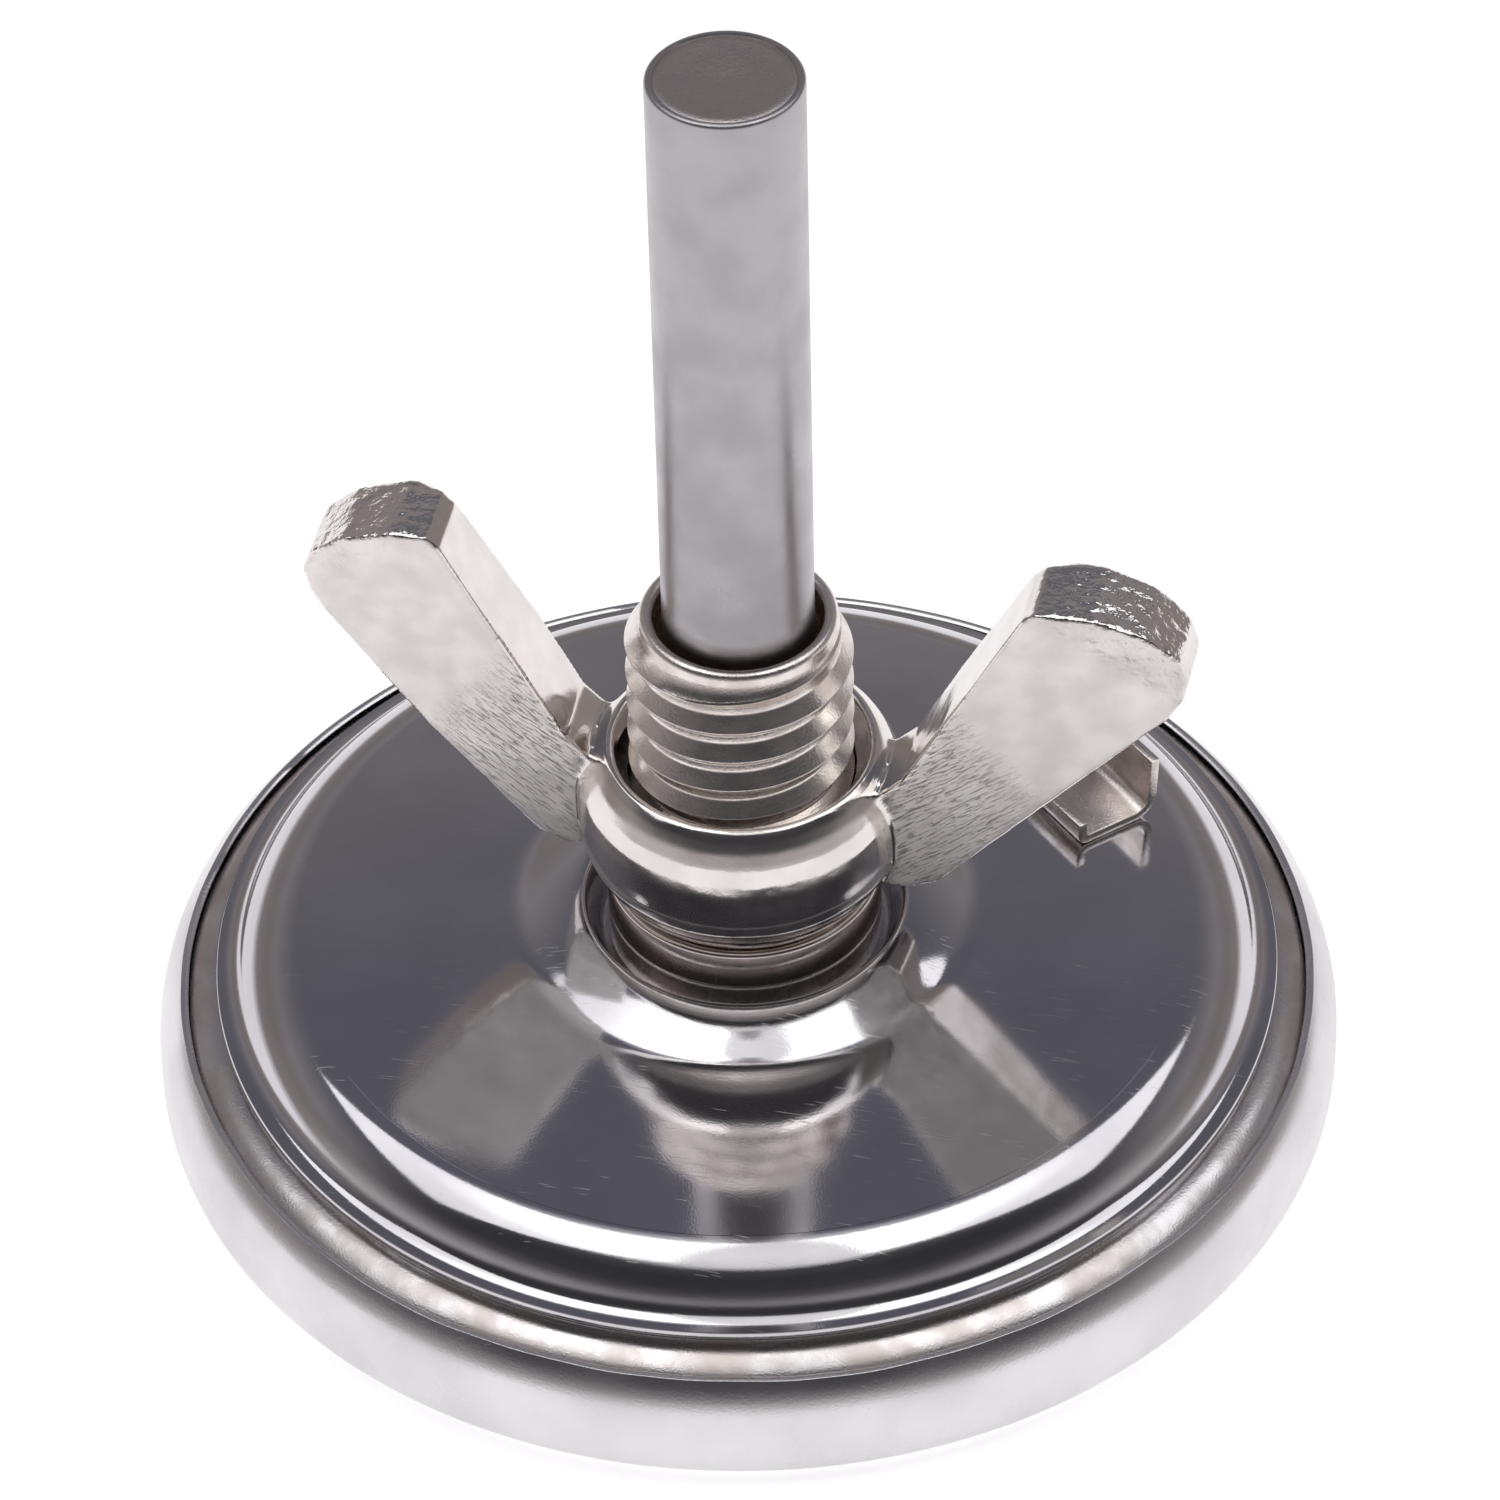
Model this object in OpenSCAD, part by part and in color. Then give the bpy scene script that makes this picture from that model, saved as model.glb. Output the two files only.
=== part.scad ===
// Bimetal dial thermometer for a grill lid, with a hollow threaded stud and a wing nut.
// It stands on the front face of its bezel, dial down, with the probe pointing up.
// Origin: centre of the bezel's front face. +Z runs along the probe, +X along the wings.

/* [Case] */
// outside radius of the bezel
case_r = 25.5; // [25.3:0.1:27]
// height of the rolled rear lip above the front face
lip_z = 5.1; // [5:0.05:5.4]
// radius of the cut edge of the rear lip
lip_r = 24.45; // [24.4:0.01:24.6]
// sheet thickness of the bezel
bezel_t = 0.4; // [0.3:0.05:0.45]
// radius of the window in the bezel
window_r = 21.8; // [20:0.1:22.5]
// radius of the outside wall of the back cover
cover_r = 22.2; // [22:0.05:22.5]
// sheet thickness of the back cover
cover_t = 0.45; // [0.3:0.05:0.6]
// height the domed back would reach on the axis
dome_top = 8.74; // [8.5:0.02:9]
// how far the domed back falls from the axis to the round shoulder
dome_drop = 0.52; // [0.3:0.02:0.8]
// radius of the crease where the raised bead around the stud begins
crease_r = 9.8; // [9:0.1:11]
// radius of the top of the bead
bead_r = 7; // [6.8:0.05:8]
// height of the top of the bead
bead_z = 9.5; // [9.3:0.05:9.8]

/* [Dial] */
// thickness of the glass
glass_t = 1.5; // [1:0.1:1.6]
// outside radius of the tick ring
tick_r = 21.2; // [18:0.1:21.6]
// number of ticks around the scale
tick_count = 28; // [10:1:46]
// sweep of the scale in degrees
scale_sweep = 270; // [180:5:290]
// length of the pointer from the axis to its tip
pointer_len = 18.2; // [12:0.1:19]

/* [Stud] */
// outside diameter of the thread
thread_d = 9.525; // [9.2:0.005:9.6]
// pitch of the thread
pitch = 1.5875; // [1.25:0.0125:1.6]
// diameter of the shoulder below the nut
shoulder_d = 11.7; // [11:0.1:12.4]
// height of the top of the stud
stud_top = 25.35; // [24:0.05:27]
// radius of the clearance bore around the probe
stud_bore_r = 3.5; // [3.3:0.05:3.7]

/* [Probe] */
// outside diameter of the probe
probe_d = 6.35; // [6.2:0.05:6.4]
// wall thickness of the probe
probe_wall = 0.33; // [0.25:0.01:0.4]
// height of the tip of the probe
probe_top = 52.8; // [50:0.1:80]
// outside radius of the expanded root of the probe, inside the stud
probe_root_r = 3.4; // [3.35:0.01:3.48]

/* [Wing nut] */
// largest diameter of the hub
hub_d = 13.9; // [13.2:0.1:14.4]
// height of the hub
hub_h = 7; // [6:0.1:7.4]
// overall span across the wings
wing_span = 37.6; // [34:0.1:42]
// wing thickness along the inner edge
wing_t_in = 3.6; // [2.6:0.1:4]
// wing thickness along the outer edge
wing_t_out = 1.8; // [1.2:0.1:2.4]

/* [Clip] */
// strip thickness of the clip
clip_t = 0.45; // [0.3:0.05:0.6]
// width of the clip
clip_w = 4.6; // [3:0.1:6]
// height of the curled outer end
clip_h = 3.1; // [2:0.1:3.6]

/* [Hidden] */
$fn = 96;
eps = 0.01;

// case stack, from the front face up
gasket_z = bezel_t;
gasket_t = 0.4;
glass_z = gasket_z + gasket_t;
spacer_z = glass_z + glass_t;
dial_z = 4;
dial_t = 0.4;
dial_r = 23.6;
band_z = dial_z + dial_t;
band_r = 24.1;
band_t = 0.4;
foot_z = 5.75;
foot_t = 0.45;
foot_r = 22.85;
corner_r = 3.2;
fillet_r = 1;
shoulder_in = cover_r - corner_r;
spigot_r = 4.15;
seat_r = 6.1;
seat_z = 7.85;
bezel_corner = 1.3;
wall_top = 2.1;
arc_n = 7;

// stud and nut
probe_r = probe_d / 2;
bore_r = probe_r - probe_wall;
stud_bore_z = 12;
root_top = stud_top - 0.95;
thread_r = thread_d / 2;
root_r = thread_r - 0.42 * pitch;
neck_r = root_r;
shoulder_r = shoulder_d / 2;
shoulder_top = 9.3;
washer_gap = 0.02;
washer_z = shoulder_top + washer_gap;
washer_t = 1.83;
fit = 0.07;
nut_z = washer_z + washer_t + 0.05;
thread_z = nut_z + 0.2;
crest_count = floor((stud_top - 0.6 - thread_z) / pitch);
crest_w = 0.2;
root_w = 0.5;
hub_r = hub_d / 2;
boss_r = 5.55;

// movement
spindle_r = 0.6;
spindle_z = 2.95;
spindle_top = 50.2;
bearing_r = spindle_r + 0.03;
pointer_z = 3.1;
pointer_t = 0.3;
hub_spigot_r = 1.1;
rest_angle = -225;
stop_r = 8;
coil_z = 31;
coil_h = 18;
coil_turns = 9;

function dome_z(r) = dome_top - dome_drop * pow(r / (shoulder_in + 0.5), 3);

function ring_arc(cr, cz, ar, az, from, to, n) = [
    for (i = [0:n])
        let (a = from + (to - from) * i / n)
            [cr + ar * cos(a), cz + az * sin(a)]
];

function blend(i, n) = (1 - cos(180 * i / n)) / 2;

// plain ring about the axis
module ring(r_in, r_out, z, h) {
    translate([0, 0, z])
        difference() {
            cylinder(r = r_out, h = h);
            translate([0, 0, -eps])
                cylinder(r = r_in, h = h + 2 * eps);
        }
}

// crimped outer ring: front face, corner, side wall and rolled rear lip
module bezel_ring() {
    outside = concat(
        [[window_r, 0]],
        ring_arc(case_r - bezel_corner, bezel_corner, bezel_corner, bezel_corner, -90, 0, arc_n),
        ring_arc(lip_r, wall_top, case_r - lip_r, lip_z - wall_top, 0, 90, arc_n)
    );
    inside = concat(
        ring_arc(lip_r - 0.3, wall_top, case_r - lip_r - 0.1, lip_z - wall_top - 0.35, 90, 0, arc_n),
        ring_arc(case_r - bezel_corner, bezel_corner, bezel_corner - bezel_t,
            bezel_corner - bezel_t, 0, -90, arc_n),
        [[window_r, bezel_t]]
    );
    color("silver")
        rotate_extrude()
            polygon(concat(outside, inside));
}

// soft ring between the bezel and the glass
module lens_gasket() {
    color("dimgray")
        ring(window_r + 0.3, 24.1, gasket_z, gasket_t);
}

// flat glass disc with a small edge chamfer
module glass_lens() {
    color("lightcyan")
        translate([0, 0, glass_z])
            rotate_extrude()
                polygon([
                    [0, 0],
                    [24.2, 0],
                    [24.4, 0.2],
                    [24.4, glass_t - 0.2],
                    [24.2, glass_t],
                    [0, glass_t]
                ]);
}

// ring that holds the glass off the dial
module dial_spacer() {
    color("black")
        ring(23, 24.4, spacer_z, dial_z - spacer_z);
}

// printed aluminium dial
module dial_plate() {
    color("white")
        difference() {
            translate([0, 0, dial_z])
                cylinder(r = dial_r, h = dial_t);
            translate([0, 0, dial_z - eps])
                cylinder(r = spindle_r + 0.5, h = dial_t + 2 * eps);
            translate([stop_x(), stop_y(), dial_z - eps])
                cylinder(r = 0.4, h = dial_t + 2 * eps, $fn = 32);
        }
}

// raised ticks on the front of the dial, every fourth one longer
module dial_ticks() {
    color("black")
        for (i = [0:tick_count - 1]) {
            long = i % 3 == 0;
            len = long ? 2.6 : 1.5;
            rotate([0, 0, rest_angle + scale_sweep * i / (tick_count - 1)])
                translate([tick_r - len, long ? -0.25 : -0.12, dial_z - 0.06])
                    cube([len, long ? 0.5 : 0.24, 0.06]);
        }
}

// rolled rim of the case, between the bezel lip and the foot of the back cover
module case_band() {
    color("silver")
        rotate_extrude()
            polygon([
                [band_r - band_t, band_z],
                [band_r, band_z],
                [band_r, band_z + 0.3],
                [band_r - 0.3, band_z + 0.55],
                [band_r - 0.7, band_z + 0.72],
                [foot_r + 0.2, band_z + 0.87],
                [foot_r - 0.1, band_z + 0.92],
                [foot_r - 0.3, foot_z],
                [cover_r - 0.6, foot_z],
                [cover_r - 0.6, foot_z - band_t],
                [foot_r - 0.6, foot_z - band_t],
                [foot_r - 0.5, band_z + 0.5],
                [band_r - band_t - 0.3, band_z + 0.3]
            ]);
}

// drawn back: foot, fillet, round shoulder, shallow dome, raised bead and the seat of the stud
module back_cover() {
    bead_n = 8;
    dome_n = 6;
    corner_z = dome_z(shoulder_in) - corner_r;
    fillet_z = foot_z + foot_t + fillet_r;
    wall_a = asin((fillet_z - corner_z) / (corner_r + fillet_r));
    fillet_in = shoulder_in + (corner_r + fillet_r) * cos(wall_a);
    dome_outer = [
        for (i = [1:dome_n])
            let (r = shoulder_in + (crease_r - shoulder_in) * i / dome_n)
                [r, dome_z(r)]
    ];
    bead_outer = [
        for (i = [1:bead_n])
            let (r = crease_r + (bead_r - crease_r) * i / bead_n)
                [r, bead_z - (bead_z - dome_z(crease_r))
                    * pow((r - bead_r) / (crease_r - bead_r), 1.5)]
    ];
    bead_inner = [
        for (i = [1:bead_n])
            [bead_r + (seat_r - bead_r) * i / bead_n, bead_z + (seat_z - bead_z) * blend(i, bead_n)]
    ];
    top = concat(dome_outer, bead_outer, bead_inner);
    crown = concat(
        ring_arc(fillet_in, fillet_z, fillet_r, fillet_r, 270, 180 + wall_a, arc_n),
        ring_arc(shoulder_in, corner_z, corner_r, corner_r, wall_a, 82, arc_n),
        top
    );
    under = concat(
        ring_arc(shoulder_in, corner_z, corner_r - cover_t, corner_r - cover_t, 15, 82, arc_n),
        [for (p = top) [p[0], p[1] - cover_t]]
    );
    color("gainsboro")
        rotate_extrude()
            polygon(concat(
                [[foot_r, foot_z], [foot_r, foot_z + foot_t]],
                crown,
                [[spigot_r, seat_z], [spigot_r, seat_z - cover_t]],
                [for (i = [len(under) - 1:-1:0]) under[i]],
                [[cover_r - cover_t - 0.1, foot_z]]
            ));
}

// flat washer inside the cover
module inner_washer() {
    color("silver")
        ring(spigot_r, 7, seat_z - cover_t - 0.5, 0.5);
}

// hexagon nut that clamps the stud from inside
module inner_nut() {
    nut_h = 1.7;
    nut_base = seat_z - cover_t - 0.5 - nut_h;
    color("silver")
        translate([0, 0, nut_base])
            difference() {
                cylinder(r = 12 / sqrt(3), h = nut_h, $fn = 6);
                translate([0, 0, -eps])
                    cylinder(r = spigot_r, h = nut_h + 2 * eps);
            }
}

// hollow stud: spigot, round shoulder, neck and thread with a rounded mouth
module threaded_stud() {
    spigot_z = 4.85;
    shank = [
        [probe_r, spigot_z],
        [spigot_r, spigot_z],
        [spigot_r, seat_z],
        [shoulder_r, seat_z],
        [shoulder_r, shoulder_top - 0.1],
        [shoulder_r - 0.1, shoulder_top],
        [neck_r, shoulder_top]
    ];
    crests = [
        for (i = [0:crest_count - 1])
            let (z = thread_z + pitch * i)
                each [
                    [root_r, z],
                    [thread_r, z + (pitch - crest_w - root_w) / 2],
                    [thread_r, z + (pitch - crest_w - root_w) / 2 + crest_w],
                    [root_r, z + pitch - root_w]
                ]
    ];
    mouth = concat(
        [[root_r, stud_top - 0.75]],
        ring_arc((root_r + stud_bore_r) / 2, stud_top - 0.4, (root_r - stud_bore_r) / 2, 0.4,
            0, 180, arc_n)
    );
    color("lightgray")
        rotate_extrude()
            polygon(concat(shank, crests, mouth, [[stud_bore_r, stud_bore_z], [probe_r, stud_bore_z]]));
}

// thin ring of braze between the root of the probe and the bore of the stud
module braze_ring() {
    color("peru")
        ring(probe_root_r, stud_bore_r, root_top - 0.5, 0.5);
}

// probe wall: pressed foot, expanded root that ends in the mouth of the stud, small chamfer at the tip
module probe_tube() {
    color("silver")
        rotate_extrude()
            polygon([
                [bore_r, 5],
                [probe_r, 5],
                [probe_r, stud_bore_z],
                [probe_root_r, stud_bore_z + 0.2],
                [probe_root_r, root_top],
                [probe_r, stud_top - 0.05],
                [probe_r, probe_top - 0.12],
                [probe_r - 0.12, probe_top],
                [bore_r, probe_top]
            ]);
}

// disc that closes the tip
module probe_plug() {
    color("gray")
        translate([0, 0, probe_top - 0.9])
            cylinder(r = bore_r, h = 0.8);
}

// brass guide for the spindle inside the stud
module upper_bearing() {
    color("goldenrod")
        ring(bearing_r, bore_r, 5.4, 2);
}

// brass guide for the spindle part way up the probe
module lower_bearing() {
    color("goldenrod")
        ring(bearing_r, bore_r, 28, 1.5);
}

// plug with a slotted post that holds the tip end of the coil
module coil_anchor() {
    anchor_z = spindle_top + 0.3;
    color("goldenrod")
        difference() {
            translate([0, 0, anchor_z])
                cylinder(r = bore_r, h = 1);
            translate([-0.2, 0, anchor_z - eps])
                cube([0.4, bore_r + 1, 0.5]);
        }
}

// flat strip wound around the spindle
module bimetal_coil() {
    color("slategray")
        union() {
            translate([0, 0, coil_z])
                linear_extrude(height = coil_h, twist = -360 * coil_turns, slices = coil_turns * 18,
                    segments = 4)
                    translate([1.75, 0])
                        square([0.4, 1.3], center = true);
            ring(spindle_r, 1.95, coil_z - 0.6, 0.8);
        }
}

// shaft from the pointer to the tip end of the coil
module spindle() {
    color("silver")
        translate([0, 0, spindle_z])
            cylinder(r = spindle_r, h = spindle_top - spindle_z);
}

// bush that carries the pointer on the spindle
module pointer_hub() {
    color("goldenrod")
        difference() {
            union() {
                translate([0, 0, spindle_z - 0.25])
                    cylinder(r = hub_spigot_r, h = 1);
                translate([0, 0, pointer_z + pointer_t])
                    cylinder(r = 2, h = 0.45);
            }
            translate([0, 0, spindle_z])
                cylinder(r = spindle_r, h = 2);
        }
}

// flat pointer with a counterweight tail
module pointer() {
    color("firebrick")
        rotate([0, 0, rest_angle])
            translate([0, 0, pointer_z])
                linear_extrude(height = pointer_t)
                    difference() {
                        union() {
                            circle(r = 2.2);
                            polygon([
                                [-6.5, -1.5],
                                [0, -1],
                                [pointer_len - 2, -0.45],
                                [pointer_len, 0],
                                [pointer_len - 2, 0.45],
                                [0, 1],
                                [-6.5, 1.5]
                            ]);
                        }
                        circle(r = hub_spigot_r);
                    }
}

function stop_x() = stop_r * cos(rest_angle) + 1.3 * sin(rest_angle);
function stop_y() = stop_r * sin(rest_angle) - 1.3 * cos(rest_angle);

// pin that the pointer rests against at the cold end
module pointer_stop() {
    color("silver")
        translate([stop_x(), stop_y(), spacer_z + 0.3])
            cylinder(r = 0.4, h = dial_z + dial_t - spacer_z - 0.3, $fn = 32);
}

// bent strip on the dome: inner tab, flat foot and curled outer end
module anti_turn_clip() {
    foot_len = 4.2;
    curl_r = 1.1;
    color("lightgray")
        translate([13.08, 9.45, dome_z(16.14)])
            rotate([0, 0, 47])
                rotate([0.6, 3.1, 0])
                    rotate([90, 0, 0])
                        translate([-foot_len / 2, 0, -clip_w / 2])
                            linear_extrude(height = clip_w)
                                union() {
                                    square([foot_len - curl_r, clip_t]);
                                    square([clip_t, 1.2]);
                                    translate([foot_len - curl_r, curl_r])
                                        intersection() {
                                            difference() {
                                                circle(r = curl_r);
                                                circle(r = curl_r - clip_t);
                                            }
                                            translate([0, -curl_r])
                                                square(curl_r);
                                        }
                                    translate([foot_len - clip_t, curl_r])
                                        square([clip_t, clip_h - curl_r]);
                                }
}

// plain ring under the nut that lifts with it
module nut_washer() {
    color("lightgray")
        translate([0, 0, washer_z])
            rotate_extrude()
                polygon([
                    [thread_r + fit, 0],
                    [shoulder_r - 0.08, 0],
                    [shoulder_r, 0.08],
                    [shoulder_r, washer_t - 0.15],
                    [shoulder_r - 0.15, washer_t],
                    [thread_r + fit, washer_t]
                ]);
}

// outline of one wing in the plane of the wings
module wing_outline() {
    tip = wing_span / 2;
    polygon([
        [5.2, 12.6],
        [7.3, 12.1],
        [8.6, 12.6],
        [13.2, 17.8],
        [tip - 0.9, 23.4],
        [tip - 0.25, 24.6],
        [tip, 25.8],
        [tip - 0.5, 26.9],
        [tip - 2.2, 28.1],
        [tip - 4.4, 28.8],
        [tip - 6, 28.6],
        [tip - 6.6, 27.9],
        [7.2, 18.6],
        [6.2, 17.5],
        [5.2, 17.3]
    ]);
}

// section across one wing, thick at the inner edge and thin at the outer edge
module wing_section() {
    in_half = wing_t_in / 2;
    out_half = wing_t_out / 2;
    polygon([
        [-9, -out_half],
        [4.6, -in_half],
        [4.6, in_half - 0.7],
        [3.4, in_half],
        [-0.6, in_half - 0.1],
        [-4.6, out_half + 0.1],
        [-9, out_half - 0.5]
    ]);
}

// one wing: the outline cut to the tapering section along its length
module wing() {
    intersection() {
        rotate([90, 0, 0])
            translate([0, 0, -3])
                linear_extrude(height = 6)
                    wing_outline();
        translate([11.2, 0, 19.2])
            rotate([0, 36, 0])
                translate([0, 0, -20])
                    linear_extrude(height = 40)
                        mirror([1, 0])
                            wing_section();
    }
}

// forged wing nut with a plain clearance bore
module wing_nut() {
    hub_top = nut_z + hub_h;
    color("lightgray")
        difference() {
            union() {
                rotate_extrude()
                    polygon([
                        [0, nut_z],
                        [boss_r, nut_z],
                        [hub_r - 0.55, nut_z + 1.25],
                        [hub_r - 0.2, nut_z + 1.9],
                        [hub_r, nut_z + 3],
                        [hub_r, nut_z + 4.6],
                        [hub_r - 0.25, nut_z + 5.6],
                        [hub_r - 0.75, nut_z + 6.5],
                        [hub_r - 1.4, hub_top],
                        [0, hub_top]
                    ]);
                wing();
                mirror([1, 0, 0])
                    wing();
            }
            translate([0, 0, nut_z - eps])
                cylinder(r = thread_r + fit, h = hub_h + 1);
            translate([0, 0, hub_top - 0.8])
                cylinder(r1 = thread_r + fit, r2 = thread_r + fit + 0.82, h = 0.82);
            translate([0, 0, hub_top - eps])
                cylinder(r = thread_r + 0.95, h = 12);
        }
}

bezel_ring();
lens_gasket();
glass_lens();
dial_spacer();
dial_plate();
dial_ticks();
case_band();
back_cover();
inner_washer();
inner_nut();
threaded_stud();
braze_ring();
probe_tube();
probe_plug();
upper_bearing();
lower_bearing();
coil_anchor();
bimetal_coil();
spindle();
pointer_hub();
pointer();
pointer_stop();
anti_turn_clip();
nut_washer();
wing_nut();
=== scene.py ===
"""A grill thermometer with a threaded stud and a wing nut, lying on its dial with the probe upwards.

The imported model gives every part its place. The pieces here stand for its visible parts: they are
turned, forged and bent with Blender's own operators and dressed with node materials.
"""

import sys

import logging
import math
from dataclasses import dataclass
from enum import Enum

import bpy
from mathutils import Matrix, Vector

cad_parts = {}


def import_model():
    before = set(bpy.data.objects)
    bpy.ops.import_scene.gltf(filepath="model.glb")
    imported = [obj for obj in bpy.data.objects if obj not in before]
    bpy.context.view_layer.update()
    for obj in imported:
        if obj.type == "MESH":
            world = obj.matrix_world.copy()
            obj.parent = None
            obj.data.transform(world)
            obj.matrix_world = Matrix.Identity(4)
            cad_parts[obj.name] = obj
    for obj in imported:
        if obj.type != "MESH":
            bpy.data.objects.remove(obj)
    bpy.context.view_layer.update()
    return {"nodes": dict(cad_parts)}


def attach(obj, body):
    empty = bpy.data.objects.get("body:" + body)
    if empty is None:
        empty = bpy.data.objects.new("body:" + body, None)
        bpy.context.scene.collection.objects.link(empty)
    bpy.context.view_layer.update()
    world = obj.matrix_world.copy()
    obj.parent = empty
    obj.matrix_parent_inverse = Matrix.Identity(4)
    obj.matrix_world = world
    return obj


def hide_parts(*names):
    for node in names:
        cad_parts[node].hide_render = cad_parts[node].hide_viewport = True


MM = 0.001
FINISHED = "_finish"
log = logging.getLogger("thermometer")

Point = tuple[float, float]
Triple = tuple[float, float, float]
Colour = Triple
Socket = bpy.types.NodeSocket


class Body(Enum):
    """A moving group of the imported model."""

    CASE = "case"
    MOVEMENT = "movement"
    NUT_RING = "nut_ring"
    NUT = "nut"


# ---------------------------------------------------------------- the workbench


class Turning:
    """The half section of a turned piece: corners as (radius, height), each with its own fillet."""

    def __init__(self, closed: bool = True) -> None:
        """Starts an empty section.

        Args:
            closed: Whether the section runs back to its first corner.
        """
        self.closed = closed
        self.corners: list[tuple[Vector, float]] = []

    def to(self, r: float, z: float, fillet: float = 0.0) -> "Turning":
        """Adds a corner.

        Args:
            r: Radius in mm.
            z: Height in mm.
            fillet: Radius of the rounding there in mm.

        Returns:
            The same section, so that calls can follow each other.
        """
        self.corners.append((Vector((r, z)), fillet))
        return self

    def run(self, points: list[Point]) -> "Turning":
        """Adds a run of points that already lie on a curve.

        Args:
            points: The points as (radius, height) in mm.

        Returns:
            The same section.
        """
        for r, z in points:
            self.to(r, z)
        return self

    def points(self) -> list[Point]:
        """The section with its fillets drawn in.

        Returns:
            The points in order, the first one again at the end of a closed section.
        """
        out: list[Point] = []
        count = len(self.corners)
        for i, (corner, fillet) in enumerate(self.corners):
            inner = self.closed or 0 < i < count - 1
            if fillet <= 0 or not inner:
                out.append((corner.x, corner.y))
                continue
            back = self.corners[i - 1][0] - corner
            ahead = self.corners[(i + 1) % count][0] - corner
            half = back.angle(ahead) / 2
            reach = min(fillet / math.tan(half), back.length * 0.5, ahead.length * 0.5)
            radius = reach * math.tan(half)
            inward = (back.normalized() + ahead.normalized()).normalized()
            centre = corner + inward * (radius / math.sin(half))
            first = corner + back.normalized() * reach - centre
            last = corner + ahead.normalized() * reach - centre
            start = math.atan2(first.y, first.x)
            sweep = (math.atan2(last.y, last.x) - start + math.pi) % (2 * math.pi) - math.pi
            steps = max(2, round(abs(sweep) / math.radians(11)))
            for k in range(steps + 1):
                a = start + sweep * k / steps
                out.append((centre.x + radius * math.cos(a), centre.y + radius * math.sin(a)))
        if self.closed:
            out.append(out[0])
        return out


class Bench:
    """The moves that pieces are made with. A piece is worked in millimetres and finished in metres."""

    @staticmethod
    def clear() -> None:
        """Lets go of everything that is selected."""
        if bpy.context.object is not None and bpy.context.object.mode != "OBJECT":
            bpy.ops.object.mode_set(mode="OBJECT")
        bpy.ops.object.select_all(action="DESELECT")

    @staticmethod
    def hold(obj: bpy.types.Object) -> None:
        """Selects one object and makes it active."""
        Bench.clear()
        obj.select_set(True)
        bpy.context.view_layer.objects.active = obj

    @staticmethod
    def chain(name: str, points: list[Point], y: float = 0.0) -> bpy.types.Object:
        """Draws a line through points in the XZ plane by extruding one vertex.

        Args:
            name: Name of the new object.
            points: The points as (x, z) in mm.
            y: Where the plane lies.

        Returns:
            The object, in edit mode, with only the last vertex selected.
        """
        Bench.clear()
        x0, z0 = points[0]
        bpy.ops.mesh.primitive_plane_add(size=0.5, location=(x0, y, z0))
        obj = bpy.context.object
        obj.name = name
        bpy.ops.object.mode_set(mode="EDIT")
        bpy.ops.mesh.merge(type="CENTER")
        for (xa, za), (xb, zb) in zip(points, points[1:]):
            bpy.ops.mesh.extrude_region_move(TRANSFORM_OT_translate={"value": (xb - xa, 0, zb - za)})
        return obj

    @staticmethod
    def close(threshold: float = 0.0005) -> None:
        """Merges doubles and turns the faces outwards, in edit mode.

        Args:
            threshold: Distance in mm under which two vertices are one.
        """
        bpy.ops.mesh.select_all(action="SELECT")
        bpy.ops.mesh.remove_doubles(threshold=threshold)
        bpy.ops.mesh.normals_make_consistent(inside=False)

    @staticmethod
    def lathe(name: str, points: list[Point], steps: int = 192) -> bpy.types.Object:
        """Turns a section about the vertical axis.

        Args:
            name: Name of the new object.
            points: The section as (radius, height) in mm.
            steps: Number of steps around.

        Returns:
            The turned object, in object mode, in mm.
        """
        obj = Bench.chain(name, points)
        bpy.ops.mesh.select_all(action="SELECT")
        bpy.ops.mesh.spin(steps=steps, angle=2 * math.pi, center=(0, 0, 0), axis=(0, 0, 1))
        Bench.close()
        bpy.ops.object.mode_set(mode="OBJECT")
        Bench.settle(obj)
        return obj

    @staticmethod
    def slab(name: str, outline: list[Point], y0: float, y1: float) -> bpy.types.Object:
        """A flat outline in the XZ plane, pulled to a thickness along Y.

        Args:
            name: Name of the new object.
            outline: The outline as (x, z) in mm, without its first point again.
            y0: Front of the slab.
            y1: Back of the slab.

        Returns:
            The slab, in object mode, in mm.
        """
        obj = Bench.chain(name, outline + [outline[0]], y0)
        Bench.close()
        bpy.ops.mesh.select_all(action="SELECT")
        bpy.ops.mesh.edge_face_add()
        bpy.ops.mesh.extrude_region_move(TRANSFORM_OT_translate={"value": (0, y1 - y0, 0)})
        Bench.close()
        bpy.ops.object.mode_set(mode="OBJECT")
        Bench.settle(obj)
        return obj

    @staticmethod
    def settle(obj: bpy.types.Object) -> None:
        """Puts an object's place, turn and size into its mesh."""
        Bench.hold(obj)
        bpy.ops.object.transform_apply(location=True, rotation=True, scale=True)

    @staticmethod
    def apply(obj: bpy.types.Object, kind: str, **values: object) -> None:
        """Adds a modifier and applies it.

        Args:
            obj: The object.
            kind: The modifier's type.
            values: Its settings.
        """
        Bench.hold(obj)
        mod = obj.modifiers.new(kind.title(), kind)
        for key, value in values.items():
            setattr(mod, key, value)
        bpy.ops.object.modifier_apply(modifier=mod.name)

    @staticmethod
    def combine(obj: bpy.types.Object, other: bpy.types.Object, operation: str) -> None:
        """Joins, cuts or intersects one solid with another, which is used up.

        Args:
            obj: The solid that stays.
            other: The solid that is used.
            operation: UNION, DIFFERENCE or INTERSECT.
        """
        Bench.apply(obj, "BOOLEAN", operation=operation, object=other, solver="EXACT")
        bpy.data.objects.remove(other, do_unlink=True)

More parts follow.
